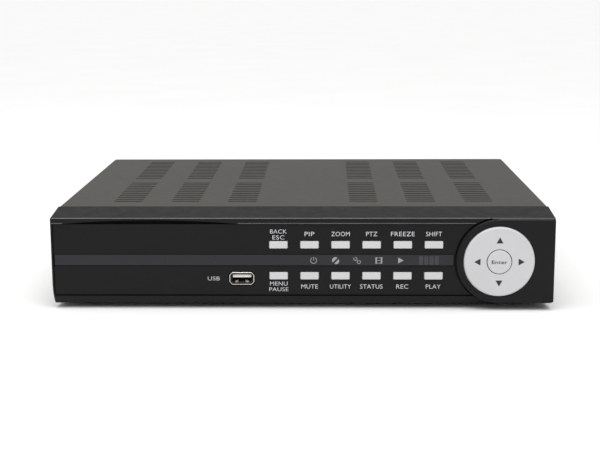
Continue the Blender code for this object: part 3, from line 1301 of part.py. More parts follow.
def make_power_switch():
    """A snap-in body with a rim outside the back wall, and a rocker that tips about a level line."""
    wide = SWITCH_WIDE / 2
    high = SWITCH_HIGH / 2
    low = (SWITCH_X - wide, REAR_FACE - SWITCH_DEEP, SWITCH_HEIGHT - high)
    rim_face = REAR_FACE + SWITCH_RIM_THICK
    body = box("power_switch_body", low, (SWITCH_X + wide, rim_face, SWITCH_HEIGHT + high))
    rim_low = (SWITCH_X - wide - SWITCH_RIM, REAR_FACE + GAP, SWITCH_HEIGHT - high - SWITCH_RIM)
    rim_high = (SWITCH_X + wide + SWITCH_RIM, rim_face, SWITCH_HEIGHT + high + SWITCH_RIM)
    add(body, box("switch_rim", rim_low, rim_high))
    inner = wide - ROCKER_WALL
    tall = high - ROCKER_WALL
    hollow_low = (SWITCH_X - inner, REAR_FACE - ROCKER_CAVITY, SWITCH_HEIGHT - tall)
    hollow_high = (SWITCH_X + inner, REAR_FACE + SWITCH_DEEP, SWITCH_HEIGHT + tall)
    cut(body, box("switch_hollow", hollow_low, hollow_high))
    finish(body, BLACK_PLASTIC, 0.5)

    pivot = REAR_FACE - SHEET
    end = ROCKER_HALF_HIGH
    outline = [(ROCKER_PROUD, end), (ROCKER_PROUD - ROCKER_DIP, 0), (ROCKER_PROUD, -end)]
    outline.append((-SHEET, -end + SHEET))
    outline += [(-SHEET, end - SHEET)]
    outline = [(pivot + depth, SWITCH_HEIGHT + height) for depth, height in outline]
    side = inner - RUNNING
    rocker = prism("power_rocker", outline, SWITCH_X - side, SWITCH_X + side, "X")
    turn_on(rocker, (SWITCH_X, pivot, SWITCH_HEIGHT))
    rocker.rotation_euler.x = -ROCKER_TILT
    finish(rocker, BLACK_PLASTIC, 0.4)


def turn_on(piece, centre):
    """Puts a moving piece's origin on its axis without moving the piece."""
    origin = place(*centre)
    piece.data.transform(Matrix.Translation(-origin))
    piece.location = origin


def main():
    for old in list(bpy.data.objects):
        bpy.data.objects.remove(old)
    make_front_bezel()
    make_faceplate()
    make_indicator_window()
    for name, (x, height) in zip(KEY_NAMES, KEY_PLACES):
        make_key(name, x, height)
    dial = (DIAL_X, TILT_DEPTH, DIAL_HEIGHT)
    make_enter_key()
    turn_on(make_navigation_ring(), dial)
    turn_on(make_ring_carrier(), dial)
    make_usb_socket("usb_front", USB_X, PLATE_SINK, USB_HEIGHT, True)
    make_light_guide()
    make_ir_receiver()
    make_dome_mat()
    make_key_board()
    make_chassis_tray()
    make_top_cover()
    make_screws()
    make_feet()
    make_main_board()
    make_heatsink()
    make_coin_cell()
    make_disk()
    make_ribbon_cable()
    make_sata_cable("sata_data_cable", 0.035, 0.006, 0.004, SATA_THICK, (0.5, 0.03, 0.02))
    make_sata_cable("sata_power_cable", 0.018, 0.014, 0.006, 2 * SATA_THICK, (0.03, 0.03, 0.03))
    make_fan()
    turn_on(bpy.data.objects["fan_rotor"], (FAN_X, FAN_FRONT, FAN_HEIGHT))
    for name, (x, height) in zip(BNC_NAMES, BNC_PLACES):
        make_bnc(name, x, height)
    make_phono("audio_in", PHONO_HEIGHTS[0], (0.7, 0.7, 0.7))
    make_phono("audio_out", PHONO_HEIGHTS[1], (0.5, 0.02, 0.02))
    make_vga()
    make_lan()
    make_rear_usb()
    make_dc_jack()
    make_terminal_block()
    make_power_switch()


main()
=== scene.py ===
from math import asin, atan2, cos, degrees, pi, radians, sin, sqrt

import bmesh
import bpy
from mathutils import Matrix, Vector


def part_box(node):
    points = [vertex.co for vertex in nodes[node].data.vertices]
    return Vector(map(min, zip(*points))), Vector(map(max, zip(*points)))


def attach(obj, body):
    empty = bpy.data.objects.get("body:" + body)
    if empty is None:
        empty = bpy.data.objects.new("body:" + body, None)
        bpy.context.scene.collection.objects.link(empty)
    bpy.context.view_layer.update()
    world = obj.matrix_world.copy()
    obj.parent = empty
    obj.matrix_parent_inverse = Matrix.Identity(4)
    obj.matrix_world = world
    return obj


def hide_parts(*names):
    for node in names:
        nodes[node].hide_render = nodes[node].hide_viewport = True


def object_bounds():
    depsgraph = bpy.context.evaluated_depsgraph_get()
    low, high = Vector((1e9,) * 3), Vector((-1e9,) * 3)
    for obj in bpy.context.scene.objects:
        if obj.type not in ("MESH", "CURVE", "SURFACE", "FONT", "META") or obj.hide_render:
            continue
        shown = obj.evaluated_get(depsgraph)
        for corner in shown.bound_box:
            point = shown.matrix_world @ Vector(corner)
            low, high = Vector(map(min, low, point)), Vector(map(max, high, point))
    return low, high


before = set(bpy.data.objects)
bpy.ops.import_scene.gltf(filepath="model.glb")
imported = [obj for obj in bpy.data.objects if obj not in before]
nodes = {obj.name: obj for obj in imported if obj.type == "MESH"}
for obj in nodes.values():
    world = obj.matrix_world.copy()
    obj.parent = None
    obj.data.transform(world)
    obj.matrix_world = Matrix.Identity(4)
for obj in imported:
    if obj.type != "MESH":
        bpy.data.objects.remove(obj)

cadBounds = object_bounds()

# Places that several pieces share, all read off the frame (metres, +Z up, front towards -Y)
coverLow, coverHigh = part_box("top_cover")
bezelLow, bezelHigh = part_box("front_bezel")
plateLow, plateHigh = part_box("faceplate")
ringLow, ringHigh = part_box("navigation_ring")
bezelToCover = 0.0202  # the cover starts this far behind the flat of the bezel
faceY = coverLow.y - bezelToCover
baseZ = bezelLow.z
dialX = (ringLow.x + ringHigh.x) / 2
dialZ = (ringLow.z + ringHigh.z) / 2
halfWidth = bezelHigh.x


def centreOf(node):
    low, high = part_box(node)
    return (low.x + high.x) / 2, (low.z + high.z) / 2


def middleOf(node):
    low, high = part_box(node)
    return (low + high) / 2


def say(stage):
    print("recorder:", stage, flush=True)


def clearPick():
    if bpy.context.mode != "OBJECT":
        bpy.ops.object.mode_set(mode="OBJECT")
    bpy.ops.object.select_all(action="DESELECT")


def pick(*pieces):
    clearPick()
    for piece in pieces:
        piece.select_set(True)
    bpy.context.view_layer.objects.active = pieces[0]


def settle(name):
    # the primitive just added gets its name, and its place goes into its mesh
    piece = bpy.context.active_object
    piece.name = name
    piece.data.name = name
    pick(piece)
    bpy.ops.object.transform_apply(location=True, rotation=True, scale=True)
    return piece


def addBlock(name, low, high):
    clearPick()
    low, high = Vector(low), Vector(high)
    bpy.ops.mesh.primitive_cube_add(size=1, location=(low + high) / 2, scale=high - low)
    return settle(name)


turnTo = {"X": (0, pi / 2, 0), "Y": (pi / 2, 0, 0), "Z": (0, 0, 0)}


def addBarrel(name, centre, radius, length, axis="Y", sides=48):
    clearPick()
    bpy.ops.mesh.primitive_cylinder_add(
        vertices=sides, radius=radius, depth=length, location=centre, rotation=turnTo[axis]
    )
    return settle(name)


def openEdit(piece, kind="FACE"):
    pick(piece)
    bpy.ops.object.mode_set(mode="EDIT")
    bpy.ops.mesh.select_mode(type=kind)
    bpy.ops.mesh.select_all(action="DESELECT")
    return bmesh.from_edit_mesh(piece.data)


def closeEdit():
    bpy.ops.object.mode_set(mode="OBJECT")


def pickEdges(piece, wanted):
    mesh = openEdit(piece, "EDGE")
    for edge in mesh.edges:
        edge.select_set(wanted(edge))
    bmesh.update_edit_mesh(piece.data)


def pullBy(offset):
    bpy.ops.mesh.extrude_region_move(TRANSFORM_OT_translate={"value": offset})


def useModifier(piece, kind, **settings):
    modifier = piece.modifiers.new(kind.title(), kind)
    for key, value in settings.items():
        setattr(modifier, key, value)
    pick(piece)
    bpy.ops.object.modifier_apply(modifier=modifier.name)


def roundOff(piece, width, segments=3, angle=35):
    useModifier(
        piece, "BEVEL", width=width, segments=segments, limit_method="ANGLE", angle_limit=radians(angle)
    )


def softBlock(name, low, high, width, segments=2):
    piece = addBlock(name, low, high)
    roundOff(piece, width, segments)
    return piece


def boolean(piece, operation, *others):
    for other in others:
        useModifier(piece, "BOOLEAN", operation=operation, object=other, solver="EXACT")
        bpy.data.objects.remove(other)


def carve(piece, *cutters):
    boolean(piece, "DIFFERENCE", *cutters)


def weldOn(piece, *others):
    boolean(piece, "UNION", *others)


def joinUp(*pieces):
    pick(*pieces)
    bpy.ops.object.join()
    return pieces[0]


def faceOut(piece):
    openEdit(piece)
    bpy.ops.mesh.select_all(action="SELECT")
    bpy.ops.mesh.remove_doubles(threshold=0.000002)
    bpy.ops.mesh.normals_make_consistent(inside=False)
    closeEdit()


def sketch(name, points, edges, faces):
    mesh = bpy.data.meshes.new(name)
    mesh.from_pydata([tuple(point) for point in points], edges, faces)
    piece = bpy.data.objects.new(name, mesh)
    bpy.context.scene.collection.objects.link(piece)
    return piece


def slab(name, outline, start, end, axis):
    # an outline drawn as one face, then extruded along its axis
    put = {
        "X": lambda a, b: (start, a, b),
        "Y": lambda a, b: (a, start, b),
        "Z": lambda a, b: (a, b, start),
    }[axis]
    piece = sketch(name, [put(a, b) for a, b in outline], [], [tuple(range(len(outline)))])
    openEdit(piece)
    bpy.ops.mesh.select_all(action="SELECT")
    pullBy([end - start if axis == letter else 0 for letter in "XYZ"])
    closeEdit()
    faceOut(piece)
    return piece


def turn(name, profile, centre, axis="Y", steps=48):
    # a profile of (radius, distance along the axis), spun into a solid
    put = {
        "X": lambda r, d: (d, r, 0),
        "Y": lambda r, d: (r, d, 0),
        "Z": lambda r, d: (r, 0, d),
    }[axis]
    points = [Vector(centre) + Vector(put(r, d)) for r, d in profile]
    piece = sketch(name, points, [(i, i + 1) for i in range(len(points) - 1)], [])
    openEdit(piece)
    bpy.ops.mesh.select_all(action="SELECT")
    around = [1.0 if axis == letter else 0.0 for letter in "XYZ"]
    bpy.ops.mesh.spin(steps=steps, angle=2 * pi, center=centre, axis=around)
    closeEdit()
    faceOut(piece)
    return piece


def fromEnd(end, profile):
    # a profile of (radius, distance from the end), put in its place along the axis
    return [(radius, end + distance) for radius, distance in profile]


def quarter(radius, width, depth, step, first=0, last=90):
    # a rounded corner of a profile, from its face out to its side
    angles = [radians(a) for a in range(first, last + 1, step)]
    return [(radius - width + width * sin(a), depth + width - width * cos(a)) for a in angles]


def ofArc(centre, radius, first, last, steps):
    # points on an arc, angles in degrees
    angles = [radians(first + (last - first) * i / steps) for i in range(steps + 1)]
    return [(centre[0] + radius * cos(a), centre[1] + radius * sin(a)) for a in angles]


def roundedRect(centre, wide, high, corner, steps=4):
    x, z = wide / 2 - corner, high / 2 - corner
    points = []
    for sideX, sideZ, first in ((1, 1, 0), (-1, 1, 90), (-1, -1, 180), (1, -1, 270)):
        points += ofArc((centre[0] + sideX * x, centre[1] + sideZ * z), corner, first, first + 90, steps)
    return points


def copyTo(piece, name, offset=(0, 0, 0)):
    # each copy has its own mesh, moved to its place
    twin = piece.copy()
    twin.data = piece.data.copy()
    twin.name = name
    twin.data.name = name
    bpy.context.scene.collection.objects.link(twin)
    twin.data.transform(Matrix.Translation(offset))
    return twin


def discard(*pieces):
    for piece in pieces:
        bpy.data.objects.remove(piece)


def smooth(piece, angle=35):
    pick(piece)
    bpy.ops.object.shade_smooth_by_angle(angle=radians(angle))
    useModifier(piece, "WEIGHTED_NORMAL", keep_sharp=True, weight=100)


def fit(piece, finish, body, slot, *hidden, angle=35):
    smooth(piece, angle)
    piece.data.materials.clear()
    piece.data.materials.append(finish)
    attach(piece, body)
    if hidden:
        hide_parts(*hidden)
    return piece


def fitStill(piece, finish, slot, *hidden, angle=35):
    return fit(piece, finish, "chassis", slot, *hidden, angle=angle)


# Finishes, all worked out on object coordinates in metres


def newFinish(name, colour, roughness, metallic=0.0, **sockets):
    finish = bpy.data.materials.new(name)
    finish.use_nodes = True
    shader = finish.node_tree.nodes["Principled BSDF"]
    shader.inputs["Base Color"].default_value = (*colour, 1)
    shader.inputs["Roughness"].default_value = roughness
    shader.inputs["Metallic"].default_value = metallic
    for socket, value in sockets.items():
        shader.inputs[socket.replace("_", " ")].default_value = value
    finish.diffuse_color = (*colour, 1)
    return finish


def addNode(finish, kind, values=None, **settings):
    made = finish.node_tree.nodes.new(kind)
    for key, value in settings.items():
        setattr(made, key, value)
    for socket, value in (values or {}).items():
        made.inputs[socket].default_value = value
    return made


def wire(finish, source, outlet, target, inlet):
    finish.node_tree.links.new(source.outputs[outlet], target.inputs[inlet])


def shaderOf(finish):
    return finish.node_tree.nodes["Principled BSDF"]


def placeNodes(finish, stretch=(1, 1, 1), centre=(0, 0, 0), turned=(0, 0, 0)):
    spot = addNode(finish, "ShaderNodeTexCoord")
    mapping = addNode(finish, "ShaderNodeMapping", {"Scale": stretch, "Rotation": turned})
    mapping.inputs["Location"].default_value = [-c * s for c, s in zip(centre, stretch)]
    wire(finish, spot, "Object", mapping, "Vector")
    return mapping


def mottle(finish, mapping, tints, scale, detail=4.0):
    # slow drift between close tints, from darkest to lightest
    noise = addNode(finish, "ShaderNodeTexNoise", {"Scale": scale, "Detail": detail})
    ramp = addNode(finish, "ShaderNodeValToRGB")
    ramp.color_ramp.elements[0].position = 0.3
    ramp.color_ramp.elements[1].position = 0.7
    ramp.color_ramp.elements[0].color = (*tints[0], 1)
    ramp.color_ramp.elements[1].color = (*tints[1], 1)
    wire(finish, mapping, "Vector", noise, "Vector")
    wire(finish, noise, "Fac", ramp, "Fac")
    wire(finish, ramp, "Color", shaderOf(finish), "Base Color")
    return ramp


def uneven(finish, mapping, low, high, scale):
    # polish that varies from place to place
    noise = addNode(finish, "ShaderNodeTexNoise", {"Scale": scale, "Detail": 3.0})
    ends = {"From Min": 0.3, "From Max": 0.7, "To Min": low, "To Max": high}
    spread = addNode(finish, "ShaderNodeMapRange", ends)
    wire(finish, mapping, "Vector", noise, "Vector")
    wire(finish, noise, "Fac", spread, "Value")
    wire(finish, spread, "Result", shaderOf(finish), "Roughness")


def grain(finish, mapping, scale, strength, height, detail=2.0):
    # fine relief of the surface
    noise = addNode(finish, "ShaderNodeTexNoise", {"Scale": scale, "Detail": detail})
    bump = addNode(finish, "ShaderNodeBump", {"Strength": strength, "Distance": height})
    wire(finish, mapping, "Vector", noise, "Vector")
    wire(finish, noise, "Fac", bump, "Height")
    wire(finish, bump, "Normal", shaderOf(finish), "Normal")
    return bump


def shade(colour, factor):
    return tuple(min(1.0, channel * factor) for channel in colour)


def newSurface(name, colour, roughness, drift, polish, relief, metallic=0.0, stretch=(1, 1, 1), **sockets):
    # drift: darkest and lightest tint, scale, detail
    # polish: below, above, scale; relief: scale, strength, height
    finish = newFinish(name, colour, roughness, metallic, **sockets)
    mapping = placeNodes(finish, stretch)
    mottle(finish, mapping, (shade(colour, drift[0]), shade(colour, drift[1])), *drift[2:])
    uneven(finish, mapping, roughness - polish[0], roughness + polish[1], polish[2])
    grain(finish, mapping, *relief)
    return finish


def moulded(name, colour, roughness, texture=0.25, drift=0.07, **sockets):
    # injection-moulded plastic: a spark-etched grain and a slight flow mottle
    tints = (1 - drift, 1 + drift, 45, 4.0)
    relief = (2600, texture, 0.00004)
    return newSurface(name, colour, roughness, tints, (0.05, 0.05, 160), relief, **sockets)


def sprayed(name, colour, roughness):
    # baked paint on sheet steel: orange peel with a fine fleck
    finish = newFinish(name, colour, roughness, Specular_IOR_Level=0.25)
    mapping = placeNodes(finish)
    ramp = mottle(finish, mapping, (shade(colour, 0.975), shade(colour, 1.025)), 14, 3.0)
    fleck = addNode(finish, "ShaderNodeTexNoise", {"Scale": 5200.0, "Detail": 1.0})
    mix = addNode(finish, "ShaderNodeMix", data_type="RGBA", blend_type="SOFT_LIGHT")
    mix.inputs[0].default_value = 0.35
    wire(finish, mapping, "Vector", fleck, "Vector")
    finish.node_tree.links.new(ramp.outputs["Color"], mix.inputs[6])
    finish.node_tree.links.new(fleck.outputs["Fac"], mix.inputs[7])
    finish.node_tree.links.new(mix.outputs[2], shaderOf(finish).inputs["Base Color"])
    uneven(finish, mapping, roughness - 0.015, roughness + 0.015, 240)
    grain(finish, mapping, 1500, 0.3, 0.00005, 3.0)
    return finish


def brushed(name, colour, roughness, stretch, metallic=1.0):
    # drawn or rolled metal: fine lines along one direction
    tints, relief = (0.86, 1.06, 900, 5.0), (2200, 0.18, 0.00003)
    return newSurface(name, colour, roughness, tints, (0.07, 0.09, 400), relief, metallic, stretch)


def plated(name, colour, roughness):
    # bright plating with faint clouding and handling marks
    tints, relief = (0.88, 1.05, 240, 6.0), (3000, 0.08, 0.00002)
    return newSurface(name, colour, roughness, tints, (0.08, 0.1, 700), relief, 1.0)


def rubbery(name, colour, roughness=0.78):
    tints, relief = (0.8, 1.35, 320, 6.0), (1900, 0.4, 0.00006)
    return newSurface(name, colour, roughness, tints, (0.08, 0.08, 500), relief, Specular_IOR_Level=0.3)


def clearPlastic(name, colour, roughness, transmission):
    tints, relief = (0.93, 1.04, 60, 4.0), (900, 0.05, 0.00002)
    sockets = {"IOR": 1.49, "Transmission_Weight": transmission}
    return newSurface(name, colour, roughness, tints, (0.03, 0.04, 300), relief, **sockets)


def boardGreen(name, colour, centre):
    # solder mask over copper: a lattice of tracks, a fine weave, and tinned pads
    finish = newFinish(name, colour, 0.38, Coat_Weight=0.35, Coat_Roughness=0.2)
    mapping = placeNodes(finish, (1, 1, 1), centre)
    tracks = addNode(finish, "ShaderNodeTexBrick", {"Scale": 260.0, "Mortar Size": 0.035, "Brick Width": 0.9})
    tracks.inputs["Color1"].default_value = (*shade(colour, 0.85), 1)
    tracks.inputs["Color2"].default_value = (*shade(colour, 1.15), 1)
    tracks.inputs["Mortar"].default_value = (*shade(colour, 1.9), 1)
    pads = addNode(finish, "ShaderNodeTexVoronoi", {"Scale": 320.0, "Randomness": 0.6})
    ends = {"From Min": 0.1, "From Max": 0.16, "To Min": 1.0, "To Max": 0.0}
    spot = addNode(finish, "ShaderNodeMapRange", ends)
    mix = addNode(finish, "ShaderNodeMix", data_type="RGBA")
    mix.inputs[7].default_value = (0.5, 0.47, 0.4, 1)
    wire(finish, mapping, "Vector", tracks, "Vector")
    wire(finish, mapping, "Vector", pads, "Vector")
    wire(finish, pads, "Distance", spot, "Value")
    finish.node_tree.links.new(spot.outputs["Result"], mix.inputs[0])
    finish.node_tree.links.new(tracks.outputs["Color"], mix.inputs[6])
    finish.node_tree.links.new(mix.outputs[2], shaderOf(finish).inputs["Base Color"])
    uneven(finish, mapping, 0.3, 0.46, 400)
    grain(finish, mapping, 1800, 0.12, 0.00004)
    return finish


def ribbed(name, colour, roughness, pitch, direction):
    # a flat cable: a row of cores under one skin, its colour darker in the grooves and lighter on the cores'
    # crowns as painted shade and highlight
    finish = newFinish(name, colour, roughness)
    mapping = placeNodes(finish)
    cores = addNode(finish, "ShaderNodeTexWave", {"Scale": 2 * pi / pitch / 20, "Distortion": 0.0})
    cores.bands_direction = direction
    ramp = addNode(finish, "ShaderNodeValToRGB")
    ramp.color_ramp.elements[0].color = (*shade(colour, 0.6), 1)
    ramp.color_ramp.elements[1].color = (*shade(colour, 1.1), 1)
    bump = addNode(finish, "ShaderNodeBump", {"Strength": 0.6, "Distance": 0.0002})
    wire(finish, mapping, "Vector", cores, "Vector")
    wire(finish, cores, "Fac", ramp, "Fac")
    wire(finish, ramp, "Color", shaderOf(finish), "Base Color")
    wire(finish, cores, "Fac", bump, "Height")
    wire(finish, bump, "Normal", shaderOf(finish), "Normal")
    uneven(finish, mapping, roughness - 0.06, roughness + 0.06, 400)
    return finish


shot = {"place": (0.01509, -0.84347, 0.19409), "lens": 75, "yaw": -1.27, "pitch": 11.07, "roll": 0.25}


def addCamera():
    yaw, pitch, roll = (radians(shot[angle]) for angle in ("yaw", "pitch", "roll"))
    forward = Vector((sin(yaw) * cos(pitch), cos(yaw) * cos(pitch), -sin(pitch)))
    right = Vector((cos(yaw), -sin(yaw), 0))
    down = forward.cross(right)
    if down.z > 0:
        down = -down
    across = right * cos(roll) + down * sin(roll)
    below = down * cos(roll) - right * sin(roll)
    lens = bpy.data.cameras.new("camera")
    lens.lens = shot["lens"]
    lens.sensor_width = 36
    lens.clip_start = 0.01
    camera = bpy.data.objects.new("camera", lens)
    turned = Matrix((across, -below, -forward)).transposed().to_4x4()
    camera.matrix_world = Matrix.Translation(shot["place"]) @ turned
    bpy.context.scene.collection.objects.link(camera)
    bpy.context.scene.camera = camera


studio = {
    "sky": 0.62,
    "sun": 1.75,
    "sunSpread": 60,
    "sunTilt": (24, 10, 0),
    "softbox": 3.2,
    "floor": (0.86, 0.86, 0.855),
}


def addSoftbox(name, place, aim, size, power):
    lamp = bpy.data.lights.new(name, "AREA")
    lamp.shape = "RECTANGLE"
    lamp.size, lamp.size_y = size
    lamp.energy = power
    holder = bpy.data.objects.new(name, lamp)
    holder.location = place
    holder.rotation_euler = (Vector(aim) - Vector(place)).to_track_quat("-Z", "Y").to_euler()
    bpy.context.scene.collection.objects.link(holder)


def lightStudio():
    world = bpy.data.worlds.new("studio")
    bpy.context.scene.world = world
    world.use_nodes = True
    sky = world.node_tree.nodes["Background"]
    sky.inputs["Color"].default_value = (1, 1, 1, 1)
    sky.inputs["Strength"].default_value = studio["sky"]
    sun = bpy.data.lights.new("overhead", "SUN")
    sun.energy = studio["sun"]
    sun.angle = radians(studio["sunSpread"])
    holder = bpy.data.objects.new("overhead", sun)
    holder.rotation_euler = [radians(angle) for angle in studio["sunTilt"]]
    bpy.context.scene.collection.objects.link(holder)
    addSoftbox("topSoftbox", (-0.25, -0.35, 0.95), (0, 0, 0.03), (0.9, 0.5), studio["softbox"])
    bpy.context.scene.view_settings.view_transform = "Standard"


def layFloor():
    clearPick()
    bpy.ops.mesh.primitive_plane_add(size=40, location=(0, 0, 0))
    floor = settle("studioFloor")
    finish = newFinish("studioPaper", studio["floor"], 0.9, Specular_IOR_Level=0.1)
    mapping = placeNodes(finish)
    mottle(finish, mapping, (shade(studio["floor"], 0.99), shade(studio["floor"], 1.01)), 6)
    floor.data.materials.append(finish)


addCamera()
lightStudio()
layFloor()
say("camera, light and floor")

plastic = {
    "bezel": (0.0072, 0.0072, 0.0072),
    "plate": (0.0048, 0.0048, 0.0051),
    "strip": (0.0160, 0.0160, 0.0203),
    "key": (0.56, 0.56, 0.565),
    "ring": (0.54, 0.54, 0.55),
    "print": (0.62, 0.62, 0.64),
}
metal = {
    "cover": (0.0435, 0.0402, 0.0345),
    "tray": (0.040, 0.040, 0.039),
    "nickel": (0.72, 0.70, 0.64),
    "screw": (0.30, 0.30, 0.31),
}

bezelFinish = moulded("blackAbs", plastic["bezel"], 0.42, 0.3, 0.04, Specular_IOR_Level=0.16)
# a darker, duller black for the back of hollows: painted shade
paintedShadeColour = shade(plastic["bezel"], 0.45)
shadowFinish = moulded("paintedShadeBlackAbs", paintedShadeColour, 0.7, 0.35, 0.06, Specular_IOR_Level=0.1)
plateFinish = moulded("satinBlackPlate", plastic["plate"], 0.36, 0.12, 0.04, Specular_IOR_Level=0.18)
stripFinish = moulded("smokedAcrylic", plastic["strip"], 0.24, 0.04, 0.02, Specular_IOR_Level=0.28)
# a lighter, glossier black for rounded edges: painted highlight
highlightEdgeFinish = moulded("paintedHighlightEdges", (0.055, 0.054, 0.056), 0.3, 0.1, 0.25)
keyFinish = moulded("lightGreyKeys", plastic["key"], 0.42, 0.14, 0.02)
ringFinish = moulded("lightGreyRing", plastic["ring"], 0.4, 0.14, 0.02)
printFinish = moulded("greyPrint", plastic["print"], 0.5, 0.1, 0.05)
portPrintFinish = moulded("portPrint", (0.44, 0.44, 0.45), 0.5, 0.1, 0.05)
dimPrintFinish = moulded("dimPrint", (0.045, 0.045, 0.06), 0.5, 0.1, 0.05)
iconFinish = moulded("iconPrint", (0.30, 0.30, 0.31), 0.5, 0.1, 0.05)
darkPrintFinish = moulded("blackPrint", (0.012, 0.012, 0.014), 0.5, 0.1, 0.1)
greyPrintFinish = moulded("midGreyPrint", (0.06, 0.06, 0.062), 0.5, 0.1, 0.05)
coverFinish = sprayed("sprayedSteel", metal["cover"], 0.5)
trayFinish = sprayed("sprayedTray", metal["tray"], 0.5)
nickelFinish = plated("nickelPlate", metal["nickel"], 0.28)
screwFinish = plated("blackenedScrews", metal["screw"], 0.36)
rubberFinish = rubbery("footRubber", (0.016, 0.016, 0.016))
ivoryFinish = moulded("ivoryInsulator", (0.80, 0.76, 0.62), 0.45, 0.15, 0.04)
tongueFinish = moulded("ivoryTongue", (0.92, 0.90, 0.82), 0.4, 0.1, 0.03)
goldFinish = plated("goldContacts", (0.83, 0.62, 0.24), 0.25)
blackPartFinish = moulded("blackSocketBody", (0.02, 0.02, 0.021), 0.48, 0.3, 0.1)
say("finishes")

bezel = {
    "depth": 0.0199,
    "faceHigh": 0.053,
    "rise": 0.0035,
    "skin": 0.006,
    "wall": 0.002,
    "chinHigh": 0.0135,
    "chinBack": 0.0047,
    "edge": 0.0007,
    "taper": 0.001,
    "blockProud": 0.0016,
    "blockEdge": 0.0012,
    "blockGap": 0.0009,
    "scoop": (-0.1426, -0.038, 0.0023, 0.0032),  # left end, right end, rise, depth
}
chinRadius = (bezel["chinHigh"] ** 2 + bezel["chinBack"] ** 2) / (2 * bezel["chinBack"])
plateSink = 0.0008
blockRadius = 0.0254
recessLow = plateLow.z - 0.0003
recessTop = plateHigh.z + 0.0003


def chinAt(height):
    # how far the front surface lies behind its flat at this height over the bezel's foot
    drop = max(0.0, bezel["chinHigh"] - height)
    return chinRadius - sqrt(chinRadius**2 - drop**2)


def chinLine(offset, low, top, steps=16):
    heights = [low + (bezel["chinHigh"] - low) * i / steps for i in range(steps + 1)]
    line = [(faceY + chinAt(h) + offset, baseZ + h) for h in heights]
    return line + [(faceY + offset, baseZ + top)]


def dialArc(radius, first, last, steps=72):
    return ofArc((dialX, dialZ), radius, first, last, steps)


